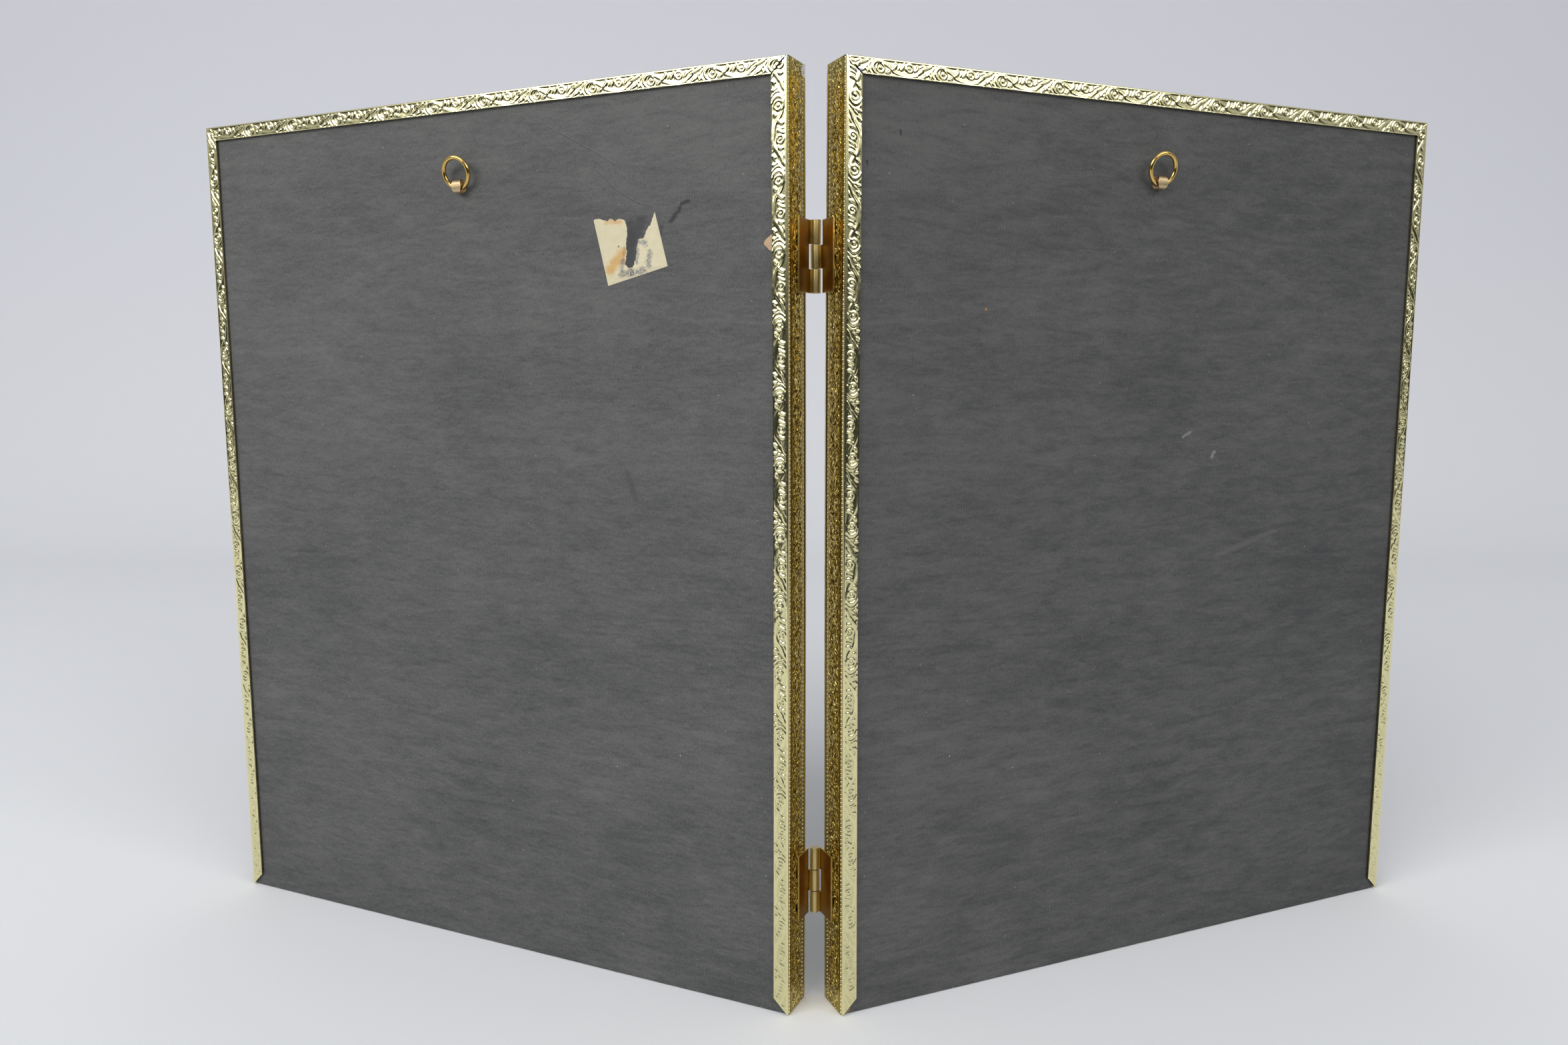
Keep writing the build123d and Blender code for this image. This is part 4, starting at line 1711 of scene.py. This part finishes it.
@dataclass
class BackingBoard:
    """The paper-covered card back with soft edges and a slightly uneven face."""

    side: Side
    left: float = 0.8
    right: float = 205.2
    top: float = 256.2
    rear: float = 0.85
    front: float = 3.25
    edge: float = 0.35
    proud: float = 0.07
    wear: float = 0.16
    across: int = 128
    up: int = 160

    def _edge_wear(self, along: np.ndarray, seed: int) -> np.ndarray:
        """A rough cut edge, as small inward steps.

        Args:
            along: Places along the edge.
            seed: The seed of its roughness.

        Returns:
            How far the edge is worn in, in millimetres.
        """
        chance = np.random.default_rng(seed)
        rough = np.convolve(chance.uniform(0, 1, len(along) + 8), np.ones(3) / 3, "same")[4:-4]
        return self.wear * rough

    def _grid(self) -> tuple[np.ndarray, np.ndarray]:
        """The board's face as a grid across and up, with its worn edges.

        Returns:
            The grid's x and its z.
        """
        xs = np.linspace(self.left, self.right, self.across + 1)
        zs = np.linspace(0, self.top, self.up + 1)
        grid_x, grid_z = np.meshgrid(xs, zs, indexing="ij")
        wear_low = self._edge_wear(xs, 5 + self.side.value)
        wear_side = self._edge_wear(zs, 8 + self.side.value)
        grid_z = grid_z + wear_low[:, None] * (1 - grid_z / self.top)
        from_middle = 1 - 2 * (grid_x - self.left) / (self.right - self.left)
        return grid_x + wear_side[None, :] * from_middle * 0.6, grid_z

    def _layers(self) -> list[np.ndarray]:
        """The grid at depths from the rear face to the front one, drawn in at both to soften the edges.

        Returns:
            The six layers, from the rear one to the front one.
        """
        grid_x, grid_z = self._grid()
        swell = 0.04 * np.sin(grid_x / 31.0 + 0.7) * np.sin(grid_z / 47.0)
        rear = self.rear + self.proud + (swell + 0.02 * np.sin(grid_x / 11.0 + grid_z / 17.0))
        front = np.full_like(rear, self.front)
        middle_x, middle_z = FRAME_WIDTH / 2, self.top / 2
        layers = []
        for inset, depth in ((1.0, rear), (0.3, rear + self.edge * 0.25), (0.0, rear + self.edge * 0.9),
                             (0.0, front - self.edge * 0.9), (0.3, front - self.edge * 0.25), (1.0, front)):
            x = middle_x + (grid_x - middle_x) * (1 - self.edge * inset / middle_x)
            z = middle_z + (grid_z - middle_z) * (1 - self.edge * inset / middle_z)
            layers.append(np.stack([x, depth, z], -1))
        return layers

    def build(self) -> bpy.types.Object:
        """Makes the board and fits it over its solid.

        Returns:
            The piece.
        """
        layers = self._layers()
        count = (self.across + 1) * (self.up + 1)
        number = np.arange(count).reshape(self.across + 1, self.up + 1)
        quads = np.stack([number[:-1, :-1], number[1:, :-1], number[1:, 1:], number[:-1, 1:]], -1)
        quads = quads.reshape(-1, 4)
        faces = quads.tolist() + (quads[:, ::-1] + count).tolist()
        rim = np.concatenate([number[:-1, 0], number[-1, :-1], number[:0:-1, -1], number[0, :0:-1]])
        places = [layer.reshape(-1, 3) for layer in (layers[0], layers[-1])]
        rings = [rim]
        for layer in layers[1:-1]:
            start = sum(len(p) for p in places)
            places.append(layer.reshape(-1, 3)[rim])
            rings.append(np.arange(start, start + len(rim)))
        rings.append(rim + count)
        for first, second in zip(rings, rings[1:]):
            faces.extend(ring_band(first, second))
        node = self.side.word + "_backing_board"
        mesh = mesh_of(node, self.side, np.vstack(places), faces)
        fitting = Fitting(self.side.word + "_board", "board_paper", BOARD_PAPER[self.side], (node,))
        return fitting.fit(mesh, node + "_card", 60.0)


@dataclass
class HangRing:
    """The brass wire ring with its butt joint, leaning on its strap."""

    side: Side
    place: float
    radius: float = 4.28
    wire: float = 0.625
    lean: float = math.radians(15.0)
    pivot: Pair = (-0.65, 231.0)
    joint_angle: float = math.radians(268.0)
    half_joint: float = 0.014
    end_shrink: Pair = (0.72, 0.97)
    turns: int = 120
    sides: int = 20

    def build(self) -> bpy.types.Object:
        """Makes the bent wire and fits it over its solid.

        Returns:
            The piece.
        """
        turn = np.linspace(self.half_joint, 2 * math.pi - self.half_joint, self.turns + 1)
        shrink = np.ones(self.turns + 1)
        shrink[[0, -1]], shrink[[1, -2]] = self.end_shrink
        round_wire = np.linspace(0, 2 * math.pi, self.sides, endpoint=False)
        places = []
        for a, s in zip(self.joint_angle + turn, shrink):
            wobble = 1 + 0.006 * math.sin(3 * a + 0.5)
            r = self.radius * wobble + self.wire * s * np.cos(round_wire)
            off = self.wire * s * np.sin(round_wire)
            across = r * math.cos(a)
            up = r * math.sin(a) + self.radius
            depth = self.pivot[0] - up * math.sin(self.lean) + off * math.cos(self.lean)
            height = self.pivot[1] + up * math.cos(self.lean) + off * math.sin(self.lean)
            places.append(np.stack([self.place + across, depth, height], -1))
        node = self.side.word + "_hang_ring"
        mesh = mesh_of(node, self.side, np.vstack(places), tube_faces(self.turns + 1, self.sides))
        fitting = Fitting(self.side.word + "_ring", "ring_brass", RING_BRASS, (node,))
        return fitting.fit(mesh, node + "_wire", 60.0)


@dataclass
class RingStrap:
    """The strip folded round the ring's wire, with its legs bent out behind the board."""

    side: Side
    place: float
    width: float = 3.4
    strip: float = 0.35
    middle: Pair = (-0.65, 231.45)
    apart: float = 0.45
    radius: float = 1.325
    soft: float = 0.07
    wear: float = 0.05

    def _line(self) -> list[Triple]:
        """The strip's middle line, from one leg round the eye to the other.

        Returns:
            Depth, height and half width at each place.
        """
        y0, z0 = self.middle
        line = [(3.425, z0 + 5.8, 1.7), (3.425, z0 + 3.0, 1.7), (3.425, z0 + 0.55, 1.55),
                (3.25, z0 + 0.24, 1.3), (2.4, z0 + 0.18, 1.25), (1.1, z0 + 0.18, 1.25),
                (y0 + self.radius * 0.93, z0 + 0.42, 1.3)]
        for turn in np.linspace(math.radians(12), math.pi, 13):
            line.append((y0 + self.radius * math.cos(turn), z0 + self.apart + self.radius * math.sin(turn),
                         1.7 - 0.62 * abs(math.sin(turn)) ** 1.5))
        line.append((y0 - self.radius, z0, self.width / 2))
        mirrored = [(y, 2 * z0 - z, w) for y, z, w in line[-2::-1]]
        return line + mirrored

    def build(self) -> bpy.types.Object:
        """Makes the folded strip and fits it over its solid.

        Returns:
            The piece.
        """
        line = np.array(self._line())
        run = np.gradient(line[:, :2], axis=0)
        run = run / np.linalg.norm(run, axis=1)[:, None]
        out = np.stack([-run[:, 1], run[:, 0]], 1)
        chance = np.random.default_rng(6)
        half, soft = self.strip / 2, self.soft
        places = []
        for (y, z, wide), (out_y, out_z) in zip(line, out):
            w = wide - chance.uniform(0, self.wear)
            loop = ((-w, -half + soft), (-w + soft, -half), (0.0, -half), (w - soft, -half),
                    (w, -half + soft), (w, half - soft), (w - soft, half), (0.0, half),
                    (-w + soft, half), (-w, half - soft))
            for across, off in loop:
                places.append((self.place + across, y + out_y * off, z + out_z * off))
        node = self.side.word + "_ring_strap"
        mesh = mesh_of(node, self.side, np.array(places), tube_faces(len(line), len(loop)))
        fitting = Fitting(self.side.word + "_board", "strap_brass", STRAP_BRASS, (node,))
        return fitting.fit(mesh, node + "_folded", 35.0)


@dataclass
class TornSheet:
    """A thin torn piece of paper or card, from its outline."""

    side: Side
    node: str
    outline: tuple[Pair, ...]
    low: float
    high: float
    roughness: float
    curl: float = 0.0
    cell: float = 0.35
    seed: int = 4
    clean_cuts: int = 0
    cut_roughness: float = 0.015
    corner_share: float = 0.2
    feather: float = 0.14
    curl_reach: float = 14.0

    def _torn_outline(self) -> np.ndarray:
        """The outline with a ragged edge.

        Returns:
            Rows of x and z.
        """
        chance = np.random.default_rng(self.seed)
        points = np.array(self.outline + self.outline[:1])
        ragged = []
        torn_sides = len(self.outline) - self.clean_cuts
        for side, (a, b) in enumerate(zip(points, points[1:])):
            rough = self.roughness if side < torn_sides else self.cut_roughness
            count = max(2, int(np.linalg.norm(b - a) / self.cell))
            square = np.array([b[1] - a[1], a[0] - b[0]]) / max(1e-6, np.linalg.norm(b - a))
            for k in range(count):
                inward = chance.uniform(-1, 1) * rough * (self.corner_share if k == 0 else 1.0)
                ragged.append(a + (b - a) * k / count + square * inward)
        return np.array(ragged)

    @staticmethod
    def _turning(points: np.ndarray, fills: np.ndarray) -> float:
        """Twice the area of the triangles, above zero where they turn left.

        Args:
            points: Rows of x and z.
            fills: The numbers of each triangle's corners.

        Returns:
            The signed sum.
        """
        first = points[fills[:, 1]] - points[fills[:, 0]]
        second = points[fills[:, 2]] - points[fills[:, 0]]
        return float(np.sum(first[:, 0] * second[:, 1] - first[:, 1] * second[:, 0]))

    def build(self, fitting: Fitting) -> bpy.types.Object:
        """Makes the torn sheet with a feathered edge.

        Args:
            fitting: What the sheet rides on and stands for.

        Returns:
            The piece.
        """
        outline = self._torn_outline()
        before, after = np.roll(outline, 1, 0), np.roll(outline, -1, 0)
        run = after - before
        square = np.stack([-run[:, 1], run[:, 0]], 1) / np.linalg.norm(run, axis=1)[:, None]
        turning = np.sum(outline[:, 0] * after[:, 1] - after[:, 0] * outline[:, 1])
        inner = outline + square * (self.feather if turning > 0 else -self.feather)
        middle = outline.mean(axis=0)
        thick = self.high - self.low
        count = len(outline)
        places, torn = [], []
        for ring, share, edge in ((inner, 0.0, 0.0), (outline, 0.55, 1.0), (outline, 0.85, 1.0),
                                  (inner, 1.0, 0.0)):
            for x, z in ring:
                out = np.hypot(x - middle[0], z - middle[1]) / self.curl_reach
                lift = self.curl * min(1.0, out**4)
                places.append((x, self.low - lift + thick * share, z))
                torn.append(edge)
        faces = []
        for start in (0, count, 2 * count):
            around = np.arange(start, start + count)
            faces.extend(ring_band(around, around + count))
        fills = np.array(tessellate_polygon([[Vector((x, z, 0.0)) for x, z in outline]]))
        if self._turning(outline, fills) * turning < 0:
            fills = fills[:, ::-1]
        faces.extend(fills.tolist())
        faces.extend((fills[:, ::-1] + 3 * count).tolist())
        mesh = mesh_of(self.node, self.side, np.array(places), faces)
        set_share(mesh, "torn", np.array(torn))
        return fitting.fit(mesh, self.node + "_torn", 70.0)


LABEL_OUTLINE = (
    (58.7, 219.6), (57.2, 220.0), (55.6, 219.5), (54.4, 219.1), (53.1, 219.7), (52.0, 218.9), (50.3, 219.6),
    (49.0, 219.2), (48.3, 218.0), (48.0, 215.6), (48.4, 213.2), (48.3, 210.2), (48.9, 207.2), (47.6, 206.2),
    (46.4, 206.5), (45.4, 208.8), (45.1, 211.4), (44.6, 213.8), (42.8, 214.2), (42.0, 216.0), (40.6, 217.7),
    (39.9, 219.3), (39.3, 220.9), (35.5, 206.3), (54.4, 201.7),
)
CHIP_CORNER = (1.5, 208.0)
CHIP_SIZE = (5.4, 5.6)
CHIP_SHARES = ((0.00, 0.00), (0.60, 0.13), (0.91, 0.40), (1.00, 0.50), (0.93, 0.64), (0.60, 0.90),
               (0.00, 1.00))
CHIP_OUTLINE = tuple((CHIP_CORNER[0] + CHIP_SIZE[0] * x, CHIP_CORNER[1] + CHIP_SIZE[1] * z)
                     for x, z in CHIP_SHARES)


@dataclass
class BoardSet:
    """A frame's back: the board, its ring in its strap, and on the left the torn label."""

    side: Side
    ring_place: float

    def build(self) -> None:
        """Makes the pieces of the back."""
        BackingBoard(self.side).build()
        HangRing(self.side, self.ring_place).build()
        RingStrap(self.side, self.ring_place).build()
        if self.side is Side.LEFT:
            label = TornSheet(self.side, "left_paper_label", LABEL_OUTLINE, low=0.72, high=0.86,
                              roughness=0.16, curl=0.05, clean_cuts=3)
            label.build(Fitting("left_board", "label_paper", LABEL_PAPER, ("left_paper_label",)))
            chip = TornSheet(self.side, "left_card_shim", CHIP_OUTLINE, low=0.42, high=0.6, roughness=0.1,
                             cell=0.3, seed=9)
            chip.build(Fitting("left_frame", "raw_card", RAW_CARD, ("left_card_shim",)))


# Where the pattern starts along each rail; on the rails that the photo shows, its volutes lie so
PATTERN_STARTS = {
    Side.LEFT: {RailPlace.INNER_STILE: 98.3, RailPlace.TOP_RAIL: 57.7, RailPlace.OUTER_STILE: 94.0,
                RailPlace.BOTTOM_RAIL: 20.0},
    Side.RIGHT: {RailPlace.INNER_STILE: 100.8, RailPlace.TOP_RAIL: 9.6, RailPlace.OUTER_STILE: 88.0,
                 RailPlace.BOTTOM_RAIL: 20.0},
}
RAIL_COLUMNS = {RailPlace.INNER_STILE: 1320, RailPlace.TOP_RAIL: 1056, RailPlace.OUTER_STILE: 1024,
                RailPlace.BOTTOM_RAIL: 800}
# How much of the flange's width the mitre beside the hinges stands open
SLIT_SHARES = {Side.LEFT: 0.95, Side.RIGHT: 0.5}


@dataclass
class PictureFrame:
    """One frame: four mouldings, bead rows, the pane and the blank print."""

    side: Side
    strip: StampedStrip

    def rails(self) -> dict[RailPlace, Rail]:
        """The four rails of the frame.

        Returns:
            The rails by their places.
        """
        starts, slit = PATTERN_STARTS[self.side], SLIT_SHARES[self.side]
        return {where: Rail(self.side, where, self.strip, starts[where], columns, slit)
                for where, columns in RAIL_COLUMNS.items()}

    def build(self) -> None:
        """Makes the frame's pieces."""
        rails = self.rails()
        for rail in rails.values():
            rail.build()
        for row in BEAD_ROWS:
            places = [where for where in RailPlace if row.on_bottom or where is not RailPlace.BOTTOM_RAIL]
            Beading(self.side, row, tuple(rails[where] for where in places)).build()
        dress_solid(self.side.word + "_glass", PANE)
        dress_solid(self.side.word + "_print", PRINT_PAPER[self.side])


@dataclass
class ButtHinge:
    """One hinge: two leaves with rolled knuckles, and the pin."""

    level: str
    edge: float = 0.07
    narrow: float = 0.0006

    def build(self) -> None:
        """Makes both leaves, marks their narrow rounded faces as rubbed, and dresses the pin."""
        for side in Side:
            node = f"{self.level}_{side.word}_leaf"
            fitting = Fitting(side.word + "_frame", "hinge_bronze", HINGE_BRONZE, (node,))
            mesh = rounded_copy(node, self.edge)
            rubbed = [2 * f.area / rim_length(mesh, f) < self.narrow for f in mesh.polygons]
            attribute = mesh.attributes.new("rubbed", "FLOAT", "FACE")
            attribute.data.foreach_set("value", np.array(rubbed, np.float32))
            fitting.fit(mesh, node + "_rolled", 35.0)
        dress_solid(self.level + "_pin", PIN_STEEL)


# Floor, light and camera


@dataclass(frozen=True)
class Lamp:
    """A soft rectangular lamp that faces the middle of the object, in metres and watts."""

    name: str
    place: Triple
    size: Pair
    power: float
    target: Triple = (0.0, 0.0, 0.12)

    def build(self) -> None:
        """Hangs the lamp, out of the camera's sight."""
        light = bpy.data.lights.new(self.name, "AREA")
        light.shape = "RECTANGLE"
        light.size, light.size_y = self.size
        light.energy = self.power
        lamp = put_in_scene(self.name, light)
        lamp.location = self.place
        lamp.rotation_euler = (Vector(self.target) - Vector(self.place)).to_track_quat("-Z", "Y").to_euler()
        lamp.visible_camera = False


@dataclass(frozen=True)
class Viewpoint:
    """Where the photo was taken from, in metres, which way in degrees, and its lens in pixels."""

    place: Triple = (-0.004674, -0.344123, 0.177059)
    yaw: float = -0.72
    pitch: float = 7.332
    roll: float = -0.1
    focal: float = 1710.147
    picture_width: float = 2352.0
    sensor: float = 36.0

    def build(self) -> None:
        """Sets up the camera."""
        yaw, pitch, roll = math.radians(self.yaw), math.radians(self.pitch), math.radians(self.roll)
        ahead = Vector((math.sin(yaw) * math.cos(pitch), math.cos(yaw) * math.cos(pitch), -math.sin(pitch)))
        right = Vector((math.cos(yaw), -math.sin(yaw), 0.0))
        up = right.cross(ahead)
        turned_right = math.cos(roll) * right + math.sin(roll) * up
        turned_up = -math.sin(roll) * right + math.cos(roll) * up
        data = bpy.data.cameras.new("camera")
        data.lens = self.focal / self.picture_width * self.sensor
        data.sensor_width = self.sensor
        data.clip_start = 0.01
        camera = put_in_scene("camera", data)
        turn = Matrix((turned_right, turned_up, -ahead)).transposed()
        camera.matrix_world = Matrix.Translation(self.place) @ turn.to_4x4()
        bpy.context.scene.camera = camera


@dataclass
class Studio:
    """The plain pale sweep, the soft lamps and the camera."""

    floor_tone: Colour = (0.88, 0.89, 0.905)
    wall_tone: Colour = (0.87, 0.875, 0.92)
    backdrop: Colour = (0.66, 0.665, 0.69)
    front_shade: float = 0.62
    half_width: float = 3.4
    front_end: float = -0.56
    curve_start: float = 0.75
    curve: float = 0.45
    wall_top: float = 3.2
    lamps: tuple[Lamp, ...] = (Lamp("left_soft_lamp", (-1.10, -1.10, 1.0), (1.3, 0.80), 17.5),
                               Lamp("right_soft_lamp", (1.10, -1.10, 1.0), (1.3, 0.80), 10.0))
    viewpoint: Viewpoint = Viewpoint()

    def sweep(self) -> None:
        """A floor that curves up into a plain wall behind the object, with painted shade on the floor in
        front of it.
        """
        line = [(self.front_end, 0.0), (self.curve_start - 0.05, 0.0)]
        for turn in np.linspace(0, math.pi / 2, 17):
            line.append((self.curve_start + self.curve * math.sin(turn), self.curve * (1 - math.cos(turn))))
        line.append((self.curve_start + self.curve, self.wall_top))
        places = [(x, y, z) for x in (-self.half_width, self.half_width) for y, z in line]
        count = len(line)
        faces = [(k, count + k, count + k + 1, k + 1) for k in range(count - 1)]
        mesh = bpy.data.meshes.new("plain_sweep")
        mesh.from_pydata(places, [], faces)
        mesh.shade_smooth()
        sweep = put_in_scene("plain_sweep", mesh)
        material = bpy.data.materials.new("plain_sweep")
        material.use_nodes = True
        bench = Bench(material.node_tree)
        height = bench.across(bench.place(), (0.0, 0.0, 1.0))
        cloth = bench.noise(bench.place(), 900.0, 3.0)
        # Painted shade: the floor in front of the object is darker by front_shade.
        forward = 1 - bench.across(bench.place(), (0.0, 1.0, 0.0)).step(-0.56, -0.22)
        front_tone = tuple(self.front_shade * c for c in self.floor_tone)
        floor = bench.blend(forward, self.floor_tone, front_tone)
        colour = bench.blend(height.step(0.0, 0.4), floor, self.wall_tone)
        normal = bench.bump(cloth, 0.0001, 0.25)
        bench.surface(Base_Color=colour, Roughness=0.95, Specular_IOR_Level=0.1, Normal=normal)
        mesh.materials.append(material)

    def world(self) -> None:
        """A dim room in front, as the metal shows it, and the pale backdrop all round it."""
        world = bpy.data.worlds.new("soft_room")
        bpy.context.scene.world = world
        world.use_nodes = True
        bench = Bench(world.node_tree)
        direction = bench.node("ShaderNodeTexCoord").out("Generated")
        up = bench.across(direction, (0.0, 0.0, 1.0))
        ahead = bench.across(direction, (0.0, -1.0, 0.0))
        stops = ((0.0, (0.02, 0.02, 0.02)), (0.53, (0.022, 0.022, 0.022)), (0.572, (0.30, 0.305, 0.31)),
                 (0.75, (0.40, 0.405, 0.42)), (1.0, (0.50, 0.51, 0.53)))
        ramp = bench.node("ShaderNodeValToRGB", {"stops": stops}, {"Fac": up * 0.5 + 0.5})
        path = bench.node("ShaderNodeLightPath")
        behind = 1 - ahead.step(-0.1, 0.25)
        seen = (path.out("Is Glossy Ray") + path.out("Is Transmission Ray")) * behind
        seen = (seen + path.out("Is Camera Ray")).smaller(1.0)
        colour = bench.blend(seen, ramp.out("Color"), self.backdrop)
        shade = bench.node("ShaderNodeBackground", None, {"Color": colour, "Strength": 1.0})
        end = bench.node("ShaderNodeOutputWorld")
        world.node_tree.links.new(shade.node.outputs[0], end.node.inputs["Surface"])

    def build(self) -> None:
        """Sets up the whole studio."""
        self.sweep()
        self.world()
        for lamp in self.lamps:
            lamp.build()
        self.viewpoint.build()
        bpy.context.scene.view_settings.view_transform = "Standard"


def main() -> None:
    """Builds the object's pieces in order, then the studio round them."""
    logging.basicConfig(level=logging.INFO, format="%(message)s")
    strip = StampedStrip()
    for side in Side:
        PictureFrame(side, strip).build()
    for side, place in ((Side.LEFT, 103.5), (Side.RIGHT, 99.0)):
        BoardSet(side, place).build()
    for level in ("upper", "lower"):
        ButtHinge(level).build()
    Studio().build()


if __name__ == "__main__":
    main()
